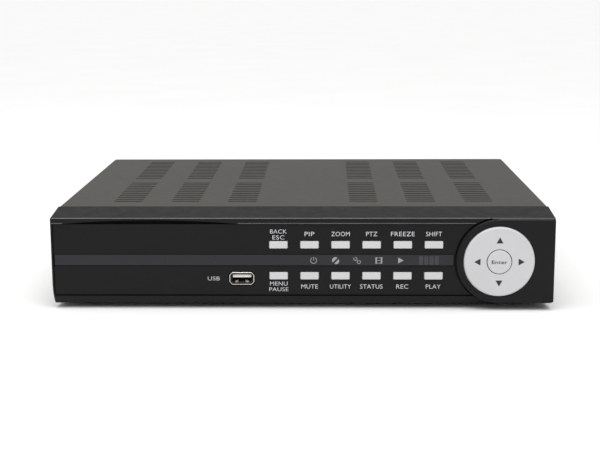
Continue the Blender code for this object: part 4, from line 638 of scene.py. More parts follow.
def makeBezel():
    back = bezel["depth"]
    top = bezel["faceHigh"]
    outline = chinLine(0, 0, top) + [(faceY + back, baseZ + top + bezel["rise"]), (faceY + back, baseZ)]
    shell = slab("frontBezel", outline, -halfWidth, halfWidth, "X")
    backY = faceY + back - 0.0001
    pickEdges(shell, lambda e: min(v.co.y for v in e.verts) < backY and e.calc_face_angle(0) > radians(30))
    bpy.ops.mesh.bevel(offset=bezel["edge"], segments=3, affect="EDGES")
    closeEdit()

    skin, wall = bezel["skin"], bezel["wall"]
    slope = bezel["rise"] / back
    end = back + 0.001
    hollow = [(faceY + d, baseZ + top + slope * d - wall) for d in (skin, end)]
    hollow += [(faceY + end, baseZ + wall), (faceY + skin, baseZ + wall)]
    carve(shell, slab("hollowCutter", hollow, -halfWidth + wall, halfWidth - wall, "X"))

    blockTop, blockLow = dialZ + blockRadius, dialZ - blockRadius
    outline = dialArc(blockRadius, 90, 270) + [(halfWidth, blockLow), (halfWidth, blockTop)]
    raised = slab("dialBlock", outline, faceY - bezel["blockProud"], faceY + skin - 0.0006, "Y")
    roundOff(raised, bezel["blockEdge"], 5, 40)
    weldOn(shell, raised)

    # the pocket that the faceplate lies in, ending on an arc round the dial block
    deep = 0.0027
    line = chinLine(deep, recessLow - baseZ, recessTop - baseZ)
    outline = line + [(faceY - 0.004, recessTop), (faceY - 0.004, recessLow)]
    recess = slab("plateRecess", outline, plateLow.x - 0.0003, dialX, "X")
    carve(recess, addBarrel("recessArc", (dialX, faceY, dialZ), blockRadius + 0.0001, 0.03, sides=144))
    carve(shell, recess)
    moat = dialArc(blockRadius + bezel["blockGap"], 100, 262) + dialArc(blockRadius, 262, 100)
    carve(shell, slab("blockMoat", moat, faceY - 0.004, faceY + deep, "Y"))

    # a long shallow arch under the ledge, to get a nail behind the plate
    left, right, rise, depth = bezel["scoop"]
    half = (right - left) / 2
    radius = (half**2 + rise**2) / (2 * rise)
    sweep = degrees(asin(half / radius))
    archCentre = ((left + right) / 2, recessTop + rise - radius)
    arch = ofArc(archCentre, radius, 90 - sweep, 90 + sweep, 40)
    carve(shell, slab("ledgeArch", arch, faceY - 0.002, faceY + depth, "Y"))

    # openings behind the plate for the keys and the socket, and the bore for the ring
    keysLow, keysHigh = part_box("key_menu")[0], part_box("key_sequence")[1]
    clear = 0.0006
    low = (keysLow.x - clear, faceY + 0.002, keysLow.z - clear)
    carve(shell, addBlock("keyOpening", low, (keysHigh.x + clear, faceY + skin + 0.0003, keysHigh.z + clear)))
    usbLow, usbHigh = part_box("usb_front_shell")
    low = (usbLow.x - clear, faceY + 0.002, usbLow.z - clear)
    carve(shell, addBlock("usbOpening", low, (usbHigh.x + clear, faceY + skin + 0.0003, usbHigh.z + clear)))
    bore = addBarrel("dialBore", (dialX, faceY, dialZ), ringHigh.x - dialX - 0.0006, 0.0132, sides=144)
    carve(shell, bore)
    pocket = addBarrel("dialPocket", (dialX, faceY + 0.0037, dialZ), 0.024, 0.0054, sides=96)
    carve(shell, pocket)
    for vertex in shell.data.vertices:
        drawIn = 1 - bezel["taper"] * max(0.0, vertex.co.y - faceY) / (back * halfWidth)
        vertex.co.x *= drawIn
    fitStill(shell, bezelFinish, "black_abs", "front_bezel", angle=32)
    # the faces of the rounded front top edge take the lighter edge finish: a painted highlight line
    shell.data.materials.append(highlightEdgeFinish)
    edgeLow, edgeSide = baseZ + top - bezel["edge"], halfWidth - 0.002
    for face in shell.data.polygons:
        middle = face.center
        onHighlightEdge = middle.z > edgeLow and middle.y < faceY + bezel["edge"] and abs(middle.x) < edgeSide
        if onHighlightEdge and 0.3 < face.normal.z < 0.95:
            face.material_index = 1

    # a fine bead along the lower edge of the ledge, on both sides of the arch, in the lighter edge finish: a
    # painted highlight line
    beadZ = recessTop + 0.0003
    stop = dialX - sqrt((blockRadius + 0.0012) ** 2 - (beadZ - dialZ) ** 2)
    for side, start, end in (("Left", -halfWidth + 0.0006, left), ("Right", right, stop)):
        middle = ((start + end) / 2, faceY + 0.0001, beadZ)
        rod = addBarrel("ledgeBead" + side, middle, 0.0003, end - start, "X", 16)
        roundOff(rod, 0.0001, 2, 60)
        fitStill(rod, highlightEdgeFinish, "black_abs")

    # a darker sheet at the back of the arch, as painted shade
    shadeSheet = ofArc(archCentre, radius - 0.0001, 90 - sweep, 90 + sweep, 40)
    inset = slab("ledgeArchShadeSheet", shadeSheet, faceY + depth - 0.0006, faceY + depth - 0.0001, "Y")
    fitStill(inset, shadowFinish, "black_abs")


makeBezel()
say("front bezel")

plate = {"thick": 0.0016, "edge": 0.00022, "keyRoom": 0.0004, "windowGroove": 0.0009}
keyNames = ["back", "pip", "zoom", "ptz", "freeze", "sequence"]
keyNames += ["menu", "mute", "utility", "status", "record", "play"]
keyWide, keyTall = 0.0108, 0.00426
usbX, usbZ = centreOf("usb_front_shell")
usbWide, usbTall = 0.0124, 0.0051


def usbOutline(margin, corner=0.0017):
    # a rectangle with its corners cut, grown by a margin
    wide, high = usbWide / 2 + margin, usbTall / 2 + margin
    points = [(wide - corner, high), (wide, high - corner), (wide, corner - high), (wide - corner, -high)]
    points += [(-x, z) for x, z in reversed(points)]
    return [(usbX + x, usbZ + z) for x, z in points]


def makePlate():
    top, low = plateHigh.z - baseZ, plateLow.z - baseZ
    outline = chinLine(plateSink, low, top) + chinLine(plateSink + plate["thick"], low, top)[::-1]
    sheet = slab("frontPlate", outline, plateLow.x, dialX, "X")
    reach = addBarrel("plateArc", (dialX, faceY, dialZ), blockRadius + bezel["blockGap"], 0.03, sides=144)
    carve(sheet, reach)
    stripLow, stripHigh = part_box("indicator_window")
    room = 0.0003
    grooveLow = (plateLow.x - 0.001, faceY - 0.001, stripLow.z - room)
    grooveHigh = (stripHigh.x + plate["windowGroove"], stripHigh.y + room, stripHigh.z + room)
    carve(sheet, addBlock("stripGroove", grooveLow, grooveHigh))
    for name in keyNames:
        x, z = centreOf("key_" + name)
        room = plate["keyRoom"]
        hole = roundedRect((x, z), keyWide + 2 * room, keyTall + 2 * room, 0.0006)
        carve(sheet, slab("keyHole", hole, faceY - 0.001, faceY + 0.005, "Y"))
    carve(sheet, slab("usbHole", usbOutline(0.0013 + 0.0005), faceY - 0.001, faceY + 0.006, "Y"))
    roundOff(sheet, plate["edge"], 2, 40)
    fitStill(sheet, plateFinish, "plate_black", "faceplate", angle=32)

    strip = addBlock("indicatorStrip", stripLow, stripHigh)
    roundOff(strip, 0.00018, 2)
    fitStill(strip, stripFinish, "smoked_acrylic", "indicator_window")


makePlate()
say("faceplate and strip")

key = {"edge": 0.00032, "flange": 0.001, "stem": 0.003}


def makeKeys():
    low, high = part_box("key_back")
    x, z = centreOf("key_back")
    flangeFront = faceY + plateSink + plate["thick"] + 0.0003
    cap = slab("key", roundedRect((x, z), keyWide, keyTall, 0.0004), low.y, flangeFront + 0.0005, "Y")
    roundOff(cap, key["edge"], 4, 40)
    flange = addBlock("keyFlange", (low.x, flangeFront, low.z), (high.x, flangeFront + key["flange"], high.z))
    half = key["stem"] / 2
    stem = addBlock("keyStem", (x - half, flangeFront + 0.0002, z - half), (x + half, high.y, z + half))
    weldOn(cap, flange, stem)
    for name in keyNames:
        toX, toZ = centreOf("key_" + name)
        twin = copyTo(cap, "cap_" + name, (toX - x, 0, toZ - z))
        fit(twin, keyFinish, "key_" + name + "_press", "key_grey", "key_" + name)
    discard(cap)


ring = {
    "rim": 0.0012,
    "thick": 0.0025,
    "lip": 0.001,
    "hubWall": 0.0015,
    "plungersAt": 0.0165,
    "arrowsAt": 0.0128,
    "arrow": 0.0021,
}
enter = {"radius": 0.0071, "edge": 0.00035, "dome": 0.00012}


def makeRing():
    front = ringLow.y
    outer = ringHigh.x - dialX - ring["lip"]
    lipBack = front + 0.0047
    bore = enter["radius"] + 0.0004
    rim, soft = ring["rim"], 0.0004
    mouth = [(2 * bore - r, d) for r, d in quarter(bore, soft, front, 15)][::-1]
    profile = mouth + quarter(outer, rim, front, 10) + [
        (outer, lipBack - ring["lip"]),
        (outer + ring["lip"], lipBack - ring["lip"]),
        (outer + ring["lip"], lipBack),
        (outer - ring["lip"], lipBack),
        (outer - ring["lip"], front + ring["thick"]),
        (bore + ring["hubWall"], front + ring["thick"]),
        (bore + ring["hubWall"], front + 0.008),
        (bore, front + 0.008),
        mouth[0],
    ]
    disc = turn("navigationRing", profile, (dialX, 0, dialZ), steps=144)
    half = key["stem"] / 2
    for side in range(4):
        x = dialX + ring["plungersAt"] * cos(side * pi / 2)
        z = dialZ + ring["plungersAt"] * sin(side * pi / 2)
        foot = (x - half, front + ring["thick"] - 0.0003, z - half)
        disc = joinUp(disc, addBlock("ringPlunger", foot, (x + half, ringHigh.y, z + half)))
    fit(disc, ringFinish, "ring", "key_grey", "navigation_ring", angle=25)

    # four arrows printed round the ring, each pointing outwards
    size = ring["arrow"]
    for side, name in enumerate(("right", "up", "left", "down")):
        angle = side * pi / 2
        corners = [(1.0, 0), (-0.75, 0.98), (-0.75, -0.98)]
        points = []
        for along, across in corners:
            reach = ring["arrowsAt"] + along * size
            x = dialX + reach * cos(angle) - across * size * sin(angle)
            points.append((x, dialZ + reach * sin(angle) + across * size * cos(angle)))
        arrow = slab("arrow_" + name, points, front - 0.00003, front + 0.00002, "Y")
        fit(arrow, darkPrintFinish, "ring", "key_grey")


def makeEnter():
    low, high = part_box("enter_key")
    radius, edge, dome = enter["radius"], enter["edge"], enter["dome"]
    crown = [(radius * 0.94 * i / 6, low.y + dome * (i / 6) ** 2) for i in range(7)]
    corner = quarter(radius, edge, low.y + dome, 15, 15)
    shoulder = faceY + plateSink + plate["thick"] + 0.0003
    profile = crown + corner + [(radius, shoulder), (0.0015, shoulder + 0.001), (0.0015, high.y), (0, high.y)]
    button = turn("enterButton", profile, (dialX, 0, dialZ), steps=96)
    fit(button, ringFinish, "enter_key_press", "key_grey", "enter_key", angle=40)


makeKeys()
makeRing()
makeEnter()
say("keys and ring")

usb = {"shell": 0.0004, "flare": 0.0013, "flareDeep": 0.0008, "contactPitch": 0.0023, "contactHalf": 0.0005}


def addContacts(name, middle, startY, endY, lowZ, highZ):
    # four gilt contacts side by side on a tongue
    half = usb["contactHalf"]
    for i in range(4):
        x = middle + (i - 1.5) * usb["contactPitch"]
        strip = softBlock(f"{name}{i + 1}", (x - half, startY, lowZ), (x + half, endY, highZ), 0.00006)
        fitStill(strip, goldFinish, "nickel")


def makeUsbSocket():
    low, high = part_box("usb_front_shell")
    wide, tall = usbWide / 2, usbTall / 2
    lip = slab("usbLip", usbOutline(usb["flare"]), low.y, low.y + usb["flareDeep"], "Y")
    roundOff(lip, 0.0003, 3, 40)
    skin = usb["shell"]
    tubeLow = (usbX - wide - skin, low.y + 0.0003, usbZ - tall - skin)
    tube = softBlock("usbShell", tubeLow, (usbX + wide + skin, high.y, usbZ + tall + skin), 0.0005, 3)
    weldOn(lip, tube)
    outline = roundedRect((usbX, usbZ), usbWide, usbTall, 0.0005)
    mouth = slab("usbMouth", outline, low.y - 0.001, high.y - skin, "Y")
    carve(lip, mouth)
    flare = slab("usbFlare", usbOutline(0.0008, 0.0013), low.y - 0.001, low.y + 0.0005, "Y")
    carve(lip, flare)
    roundOff(lip, 0.00012, 2, 50)
    lip.name = "usbSocketShell"
    fitStill(lip, nickelFinish, "nickel", "usb_front_shell")
    # the step between the rim and the mouth takes the darker finish: painted shade
    lip.data.materials.append(shadowFinish)
    for face in lip.data.polygons:  # the shaded step between the rim and the mouth
        if face.normal.y < -0.9 and low.y + 0.0003 < face.center.y < low.y + 0.0007:
            face.material_index = 1

    tongueLow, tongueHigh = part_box("usb_front_tongue")
    tongue = softBlock("usbTongue", tongueLow, tongueHigh, 0.0002)
    fitStill(tongue, tongueFinish, "ivory_plastic", "usb_front_tongue")
    under = tongueLow.z
    start, end = tongueLow.y + 0.0008, tongueHigh.y - 0.001
    addContacts("usbContact", usbX, start, end, under - 0.00012, under + 0.0001)
    # two springs of the shell that press on a plug, and a dark sheet at the bottom of the mouth, put in as
    # painted shade
    floorZ = usbZ - tall
    for side, x in (("Left", usbX - 0.0031), ("Right", usbX + 0.0031)):
        shares = [i / 8 for i in range(9)]
        bow = [(low.y + 0.0012 + 0.0048 * s, floorZ + 0.00005 + 0.0011 * sin(pi * s)) for s in shares]
        bow += [(y, z - 0.00022) for y, z in reversed(bow)]
        spring = slab("usbSpring" + side, bow, x - 0.0009, x + 0.0009, "X")
        fitStill(spring, nickelFinish, "nickel")
    inside = 0.00005
    shadeSheetLow = (usbX - wide + inside, low.y + 0.0016, floorZ + inside)
    back = high.y - skin
    shadeSheet = addBlock("usbShadeSheet", shadeSheetLow, (usbX + wide - inside, back - 0.0001, usbZ + tall - inside))
    holeHigh = (usbX + wide - 0.0003, back - 0.0005, usbZ + tall - 0.0003)
    hole = addBlock("shadeSheetHole", (usbX - wide + 0.0003, low.y, floorZ + 0.00025), holeHigh)
    carve(shadeSheet, hole)
    fitStill(shadeSheet, blackPartFinish, "black_abs")


makeUsbSocket()
say("front socket")

# Print on the plate, the strip and the centre key
legend = {"capHigh": 0.00282, "thick": 0.00002, "bold": -0.006, "upper": 0.0434, "lower": 0.0113}
legend.update({"upperFirst": 0.0449, "upperSecond": 0.0413, "lowerFirst": 0.0131, "lowerSecond": 0.0095})
keyWords = {  # words, line and printed width of each key's own label
    "pip": ("PIP", "upper", 0.0058),
    "zoom": ("ZOOM", "upper", 0.0109),
    "ptz": ("PTZ", "upper", 0.0066),
    "freeze": ("FREEZE", "upper", 0.0140),
    "sequence": ("SHIFT", "upper", 0.0094),
    "mute": ("MUTE", "lower", 0.0099),
    "utility": ("UTILITY", "lower", 0.0125),
    "status": ("STATUS", "lower", 0.0134),
    "record": ("REC", "lower", 0.0071),
    "play": ("PLAY", "lower", 0.0088),
}
pairWords = {
    "back": (("BACK", "upperFirst", 0.0099), ("ESC", "upperSecond", 0.0071)),
    "menu": (("MENU", "lowerFirst", 0.0105), ("PAUSE", "lowerSecond", 0.0115)),
}


capShare = 0.729  # height of a capital over the size of the built-in letters


def plateDepth(z):
    return faceY + plateSink + chinAt(z - baseZ)


def printText(name, words, x, z, capHigh, wide, weight, finish=printFinish, depth=plateDepth, body="chassis"):
    # plain generic words, set as a thin layer of ink that follows the surface
    clearPick()
    bpy.ops.object.text_add(location=(0, 0, 0))
    text = bpy.context.active_object
    text.data.body = words
    text.data.align_x = "CENTER"
    text.data.size = 1.0  # drawn large, because small letters fill badly
    text.data.offset = weight
    text.data.space_character = 1.04
    text.data.resolution_u = 3
    bpy.ops.object.convert(target="MESH")
    ink = bpy.context.active_object
    openEdit(ink)
    for cutAt in range(1, 8):  # level cuts, so that tall strokes can follow the chin
        bpy.ops.mesh.select_all(action="SELECT")
        bpy.ops.mesh.bisect(plane_co=(0, cutAt * capShare / 8, 0), plane_no=(0, 1, 0))
    closeEdit()
    ink.name = name
    ink.data.name = name
    across = [v.co.x for v in ink.data.vertices]
    centre = (min(across) + max(across)) / 2
    scale = capHigh / capShare
    stretch = wide / (max(across) - min(across))
    for vertex in ink.data.vertices:
        toX = x + (vertex.co.x - centre) * stretch
        toZ = z - capHigh / 2 + vertex.co.y * scale
        vertex.co = (toX, depth(toZ) - 0.00001, toZ)
    openEdit(ink)
    bpy.ops.mesh.select_all(action="SELECT")
    pullBy((0, -legend["thick"], 0))
    closeEdit()
    faceOut(ink)
    return fit(ink, finish, body, "key_grey")


def printShape(name, outline, finish=iconFinish):
    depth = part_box("indicator_window")[0].y - 0.00001
    return fitStill(slab(name, outline, depth, depth - legend["thick"], "Y"), finish, "key_grey")


def printWords():
    cap, bold = legend["capHigh"], legend["bold"]
    for name, (words, row, wide) in keyWords.items():
        x, z = centreOf("key_" + name)[0], baseZ + legend[row]
        printText("word_" + name, words, x, z, cap, wide, bold)
    for name, lines in pairWords.items():
        for line, (words, row, wide) in enumerate(lines):
            x, z = centreOf("key_" + name)[0], baseZ + legend[row]
            label = f"word_{name}_{line + 1}"
            printText(label, words, x, z, cap * 0.93, wide, bold)
    x, z = usbX - 0.0168, baseZ + 0.0162
    printText("word_port", "USB", x, z, 0.0025, 0.0072, 0, portPrintFinish)
    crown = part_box("enter_key")[0].y + 0.00003
    enterInk = (greyPrintFinish, lambda height: crown, "enter_key_press")
    printText("word_enter", "Enter", dialX, dialZ, 0.0022, 0.0092, 0.022, *enterInk)


icons = {"high": 0.0044, "line": 0.00036, "middle": 0.0272, "pitch": 0.01295}


def ringOutline(x, z, outer, first, last, steps=28):
    out = ofArc((x, z), outer, first, last, steps)
    return out + ofArc((x, z), outer - icons["line"], last, first, steps)


def printIcons():
    z = baseZ + icons["middle"]
    line, half = icons["line"], icons["high"] / 2
    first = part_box("light_guide")[0].x + 0.0018
    places = [first + icons["pitch"] * i for i in range(5)]
    # power: an open ring and a stroke
    x = places[0]
    printShape("icon_power_ring", ringOutline(x, z, half * 0.92, 118, 422))
    printShape("icon_power_bar", roundedRect((x, z + half * 0.45), line, half, line / 2.2))
    # disk: a solid disc with a slit swung across it
    x = places[1]
    printShape("icon_disk_upper", ofArc((x, z), half * 0.9, 52, 218, 24))
    printShape("icon_disk_lower", ofArc((x + 0.0004, z - 0.0004), half * 0.86, 238, 398, 24))
    # network: two linked loops
    x = places[2]
    for name, dx, dz in (("a", -0.00105, 0.00095), ("b", 0.00105, -0.00095)):
        printShape("icon_link_" + name, ringOutline(x + dx, z + dz, 0.00115, -225, 90))
    slant = [(-0.0009, 0.0002), (0.0009, -0.0006), (0.0009, -0.0002), (-0.0009, 0.0006)]
    printShape("icon_link_bar", [(x + dx, z + dz) for dx, dz in slant])
    # recording: a strip of film
    x = places[3]
    for side, dx in (("left", -0.0016), ("right", 0.0016)):
        printShape("icon_film_" + side, roundedRect((x + dx, z), 0.00085, icons["high"] * 0.9, 0.0001))
    for i in range(3):
        gate = roundedRect((x, z + (i - 1) * 0.00165), 0.0024, line * 0.8, 0.0001)
        printShape(f"icon_film_gate_{i + 1}", gate)
    # playing: an arrowhead
    x = places[4]
    printShape("icon_play", [(x - 0.0015, z + 0.0018), (x - 0.0015, z - 0.0018), (x + 0.0018, z)])
    # remote control eye: four groups of fine upright bars
    eye = centreOf("ir_receiver")[0]
    for group in range(4):
        for bar in range(4):
            x = eye + (group - 1.5) * 0.0031 + (bar - 1.5) * 0.0006
            outline = roundedRect((x, z), 0.00036, 0.0053, 0.0001)
            printShape(f"eye_bar_{group + 1}_{bar + 1}", outline, dimPrintFinish)


printWords()
printIcons()
say("print")

cover = {
    "sheet": 0.001, "bend": 0.0022, "lip": 0.007, "slotLong": 0.018, "slotWide": 0.0026, "slotEdge": 0.00012,
    "slotPitch": 0.0071, "columnPitch": 0.0356, "middleGap": 0.0751, "frontRows": 11, "rearRows": 12,
    "frontAt": 0.0181, "rearAt": 0.0154,
}


def makeCover():
    t, bend = cover["sheet"], cover["bend"]
    half, top, low = coverHigh.x, coverHigh.z, coverLow.z
    corner = ofArc((half - bend, top - bend), bend, 0, 90, 8)
    outer = [(half, low)] + corner
    outer += [(-x, z) for x, z in reversed(outer)]
    corner = ofArc((half - bend, top - bend), bend - t, 0, 90, 6)
    inner = [(half - t, low)] + corner
    inner += [(-x, z) for x, z in reversed(inner)]
    sheet = slab("topCover", outer + inner[::-1], coverLow.y, coverHigh.y, "Y")
    flat = half - bend * 0.3
    outline = roundedRect((0, top - cover["lip"] / 2 - t / 4), 2 * flat, cover["lip"] - t / 2, 0.0008)
    weldOn(sheet, slab("coverLip", outline, coverHigh.y - t, coverHigh.y, "Y"))

    steps = [cover["middleGap"] / 2 + cover["columnPitch"] * i for i in range(3)]
    columns = [side * step for step in steps for side in (-1, 1)]
    rows = [coverLow.y + cover["frontAt"] + cover["slotPitch"] * i for i in range(cover["frontRows"])]
    rows += [coverHigh.y - cover["rearAt"] - cover["slotPitch"] * i for i in range(cover["rearRows"])]
    long, wide = cover["slotLong"], cover["slotWide"]
    first = slab("slotCutter", roundedRect((0, 0), long, wide, wide * 0.42, 3), top - 3 * t, top + t, "Z")
    cutters = [copyTo(first, "slot", (x, y, 0)) for x in columns for y in rows]
    discard(first)
    carve(sheet, joinUp(*cutters))
    for screw in [name for name in nodes if name.startswith("cover_screw")]:
        low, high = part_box(screw)
        axis = "Y" if "rear" in screw else "X"
        carve(sheet, addBarrel("screwHole", (low + high) / 2, 0.0019, 0.02, axis, 32))
    roundOff(sheet, cover["slotEdge"], 2, 50)
    fitStill(sheet, coverFinish, "painted_steel", "top_cover", angle=30)


makeCover()
say("top cover")

screw = {"head": 0.00285, "headThick": 0.0009, "shank": 0.0015, "recess": 0.0011, "recessWide": 0.00042}
screwAims = {"left": (-1, 0, 0), "right": (1, 0, 0), "rear": (0, 1, 0)}


def makeScrews():
    # one pan-head screw pointing up, then a copy turned and moved to each place
    low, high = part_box("cover_screw_left_front")
    length = high.x - low.x
    head, thick, shank = screw["head"], screw["headThick"], screw["shank"]
    crown = [(head * sin(radians(a)), -thick + thick * cos(radians(a)) * 0.98) for a in range(0, 91, 9)]
    thread = []
    pitch = 0.0005
    step = 0
    at = -thick - 0.0008
    while at > -length + 0.001:
        thread.append((shank if step % 2 == 0 else shank * 0.84, at))
        at -= pitch / 2
        step += 1
    profile = crown + [(head, -thick - 0.0001), (shank * 0.84, -thick - 0.0001)] + thread + [(0, -length)]
    first = turn("coverScrew", profile, (0, 0, 0), "Z", 40)
    arm, wide = screw["recess"], screw["recessWide"]
    cross = addBlock("crossRecess", (-arm, -wide / 2, -0.0007), (arm, wide / 2, 0.001))
    other = addBlock("crossRecessB", (-wide / 2, -arm, -0.0007), (wide / 2, arm, 0.001))
    carve(first, cross, other)
    roundOff(first, 0.00005, 2, 60)
    for name in [name for name in nodes if name.startswith("cover_screw")]:
        low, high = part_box(name)
        side = "rear" if "rear" in name else ("left" if "left" in name else "right")
        aim = Vector(screwAims[side])
        middle = (low + high) / 2
        outer = [high[i] if aim[i] > 0 else (low[i] if aim[i] < 0 else middle[i]) for i in range(3)]
        twin = copyTo(first, name.replace("cover_screw", "coverScrew"))
        twin.data.transform(Matrix.Translation(outer) @ aim.to_track_quat("Z", "Y").to_matrix().to_4x4())
        fitStill(twin, screwFinish, "screw_steel", name, angle=30)
    discard(first)


def makeFeet():
    low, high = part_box("foot_left_front")
    radius = (high.x - low.x) / 2
    stem, pad = 0.002, baseZ + 0.0007
    rounding = 0.0011
    base = [(radius * 0.72 * i / 3, 0.0004 if i < 3 else 0.0) for i in range(4)]
    profile = base + quarter(radius, rounding, 0, 15) + [(radius * 0.94, pad), (stem, pad)]
    profile += [(stem, high.z - 0.0008), (stem * 0.7, high.z), (0, high.z)]
    first = turn("foot", profile, (0, 0, 0), "Z", 64)
    for name in [name for name in nodes if name.startswith("foot_")]:
        middle = middleOf(name)
        twin = copyTo(first, name.replace("foot_", "rubberFoot_"), (middle.x, middle.y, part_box(name)[0].z))
        fitStill(twin, rubberFinish, "rubber", name)
    discard(first)


makeScrews()
makeFeet()
say("screws and feet")

rearWall = faceY + 0.2226  # outer face of the back wall


def refine(node, name, finish, slot, body, edge=0.0002, angle=40, segments=2):
    # a copy of the frame's solid: merged, its flat faces made whole, and its edges eased
    twin = copyTo(nodes[node], name)
    twin.parent = None
    for label in list(twin.keys()):
        del twin[label]
    openEdit(twin)
    bpy.ops.mesh.select_all(action="SELECT")
    bpy.ops.mesh.remove_doubles(threshold=0.000001)
    bpy.ops.mesh.dissolve_limited(angle_limit=radians(1))
    closeEdit()
    if edge:
        roundOff(twin, edge, segments, angle)
    return fit(twin, finish, body, slot, node)


# Profiles are of (radius, distance from the tip of the socket, or from the wall)
bnc = {
    "barrel": 0.0048,
    "bore": 0.0041,
    "neck": 0.0044,
    "collar": 0.0062,
    "collarLong": 0.0032,
    "washer": 0.0074,
    "lug": 0.0009,
    "lugBack": 0.0042,
    "sleeve": [
        (0.0011, -0.0084), (0.0033, -0.0084), (0.0033, -0.0026), (0.0030, -0.0023),
        (0.0016, -0.0023), (0.0011, -0.0027), (0.0011, -0.0084),
    ],
    "pin": [
        (0, -0.0083), (0.001, -0.0083), (0.001, -0.0034), (0.0008, -0.0031),
        (0.00045, -0.0031), (0.00045, -0.005), (0, -0.005),
    ],
}


def addSocketBody(name, node):
    # the moulded block of a socket, which stands inside the back wall
    low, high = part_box(node)
    return softBlock(name, low, (high.x, rearWall - 0.0013, high.z), 0.0004)


def makeBncSockets():
    names = ["video_in_1", "video_in_2", "video_in_3", "video_in_4", "video_out"]
    x, z = centreOf(names[0])
    tip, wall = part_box(names[0])[1].y, rearWall + 0.0003
    barrel, bore, neck, edge = bnc["barrel"], bnc["bore"], bnc["neck"], bnc["washer"]
    shoulder = wall + bnc["collarLong"]
    profile = [(0, wall - 0.004), (barrel, wall - 0.004), (barrel, shoulder + 0.001)]
    profile += [(neck, shoulder + 0.0012), (neck, shoulder + 0.0022), (barrel, shoulder + 0.0024)]
    profile += [(barrel, tip - 0.0003), (barrel - 0.0003, tip), (bore + 0.0001, tip)]
    profile += [(bore, tip - 0.0002), (bore, tip - 0.0085), (0, tip - 0.0085)]
    tube = turn("bncBarrel", profile, (x, 0, z), steps=56)
    hexagon = ofArc((x, z), bnc["collar"] + 0.0004, 0, 300, 5)
    nut = slab("bncNut", hexagon, wall, wall + bnc["collarLong"] * 0.62, "Y")
    roundOff(nut, 0.0003, 2)
    profile = [(barrel, -0.0001), (edge, -0.0001), (edge, 0.0006), (barrel, 0.0006), (barrel, -0.0001)]
    washer = turn("bncWasher", fromEnd(wall, profile), (x, 0, z), steps=48)
    lugs = []
    for side in (-1, 1):
        place = (x + side * barrel, tip - bnc["lugBack"], z)
        lug = addBarrel("bncLug", place, bnc["lug"], 0.0022, "X", 20)
        roundOff(lug, 0.0002, 2)
        lugs.append(lug)
    tube = joinUp(tube, nut, washer, *lugs)
    sleeve = turn("bncSleeve", fromEnd(tip, bnc["sleeve"]), (x, 0, z), steps=40)
    pin = turn("bncPin", fromEnd(tip, bnc["pin"]), (x, 0, z), steps=24)
    block = addSocketBody("bncBody", names[0])
    for name in names:
        shift = middleOf(name) - middleOf(names[0])
        label = name.replace("video", "bnc").replace("_", "")
        fitStill(copyTo(tube, label + "Barrel", shift), nickelFinish, "nickel", name, angle=30)
        fitStill(copyTo(sleeve, label + "Insulator", shift), ivoryFinish, "nickel")
        fitStill(copyTo(pin, label + "Pin", shift), goldFinish, "nickel")
        fitStill(copyTo(block, label + "Body", shift), blackPartFinish, "nickel")
    discard(tube, sleeve, pin, block)


phono = {
    "white": (0.78, 0.78, 0.76),
    "red": (0.5, 0.015, 0.015),
    "mouth": 0.0031,
    "barrel": 0.0041,
    "collar": [
        (0.0016, 0), (0.0054, 0), (0.0054, 0.0008), (0.0052, 0.001),
        (0.0042, 0.001), (0.0042, 0.0002), (0.003, 0.0002),
    ],
    "core": [(0.003, -0.0007), (0.0028, -0.0004), (0.0018, -0.0004), (0.0016, -0.0007)],
}


def makePhonoSockets():
    mouth, barrel = phono["mouth"], phono["barrel"]
    for node, colour in (("audio_in", "white"), ("audio_out", "red")):
        x, z = centreOf(node)
        slot = "socket_" + colour
        finish = moulded(node + "Insulator", phono[colour], 0.35, 0.12, 0.04)
        tip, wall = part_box(node)[1].y, rearWall + 0.0003
        profile = [(mouth, wall - 0.003), (barrel, wall - 0.003), (barrel, tip - 0.0003)]
        profile += [(barrel - 0.0003, tip), (mouth + 0.0003, tip), (mouth, tip - 0.0003)]
        profile.append((mouth, wall - 0.003))
        shellPart = turn(node + "Barrel", profile, (x, 0, z), steps=48)
        fitStill(shellPart, nickelFinish, slot, node, angle=30)
        profile = fromEnd(wall, phono["collar"]) + fromEnd(tip, phono["core"]) + [(0.0016, wall)]
        fitStill(turn(node + "Insulator", profile, (x, 0, z), steps=48), finish, slot)
        fitStill(addSocketBody(node + "Body", node), finish, slot)


monitor = {
    "wide": 0.00815,
    "tall": 0.00395,
    "slant": 0.0012,
    "proud": 0.006,
    "flange": (0.0154, 0.0062),
    "postAt": 0.0125,
    "post": 0.0027,
    "thread": 0.0014,
    "pinPitch": 0.0023,
    "rowPitch": 0.00198,
}


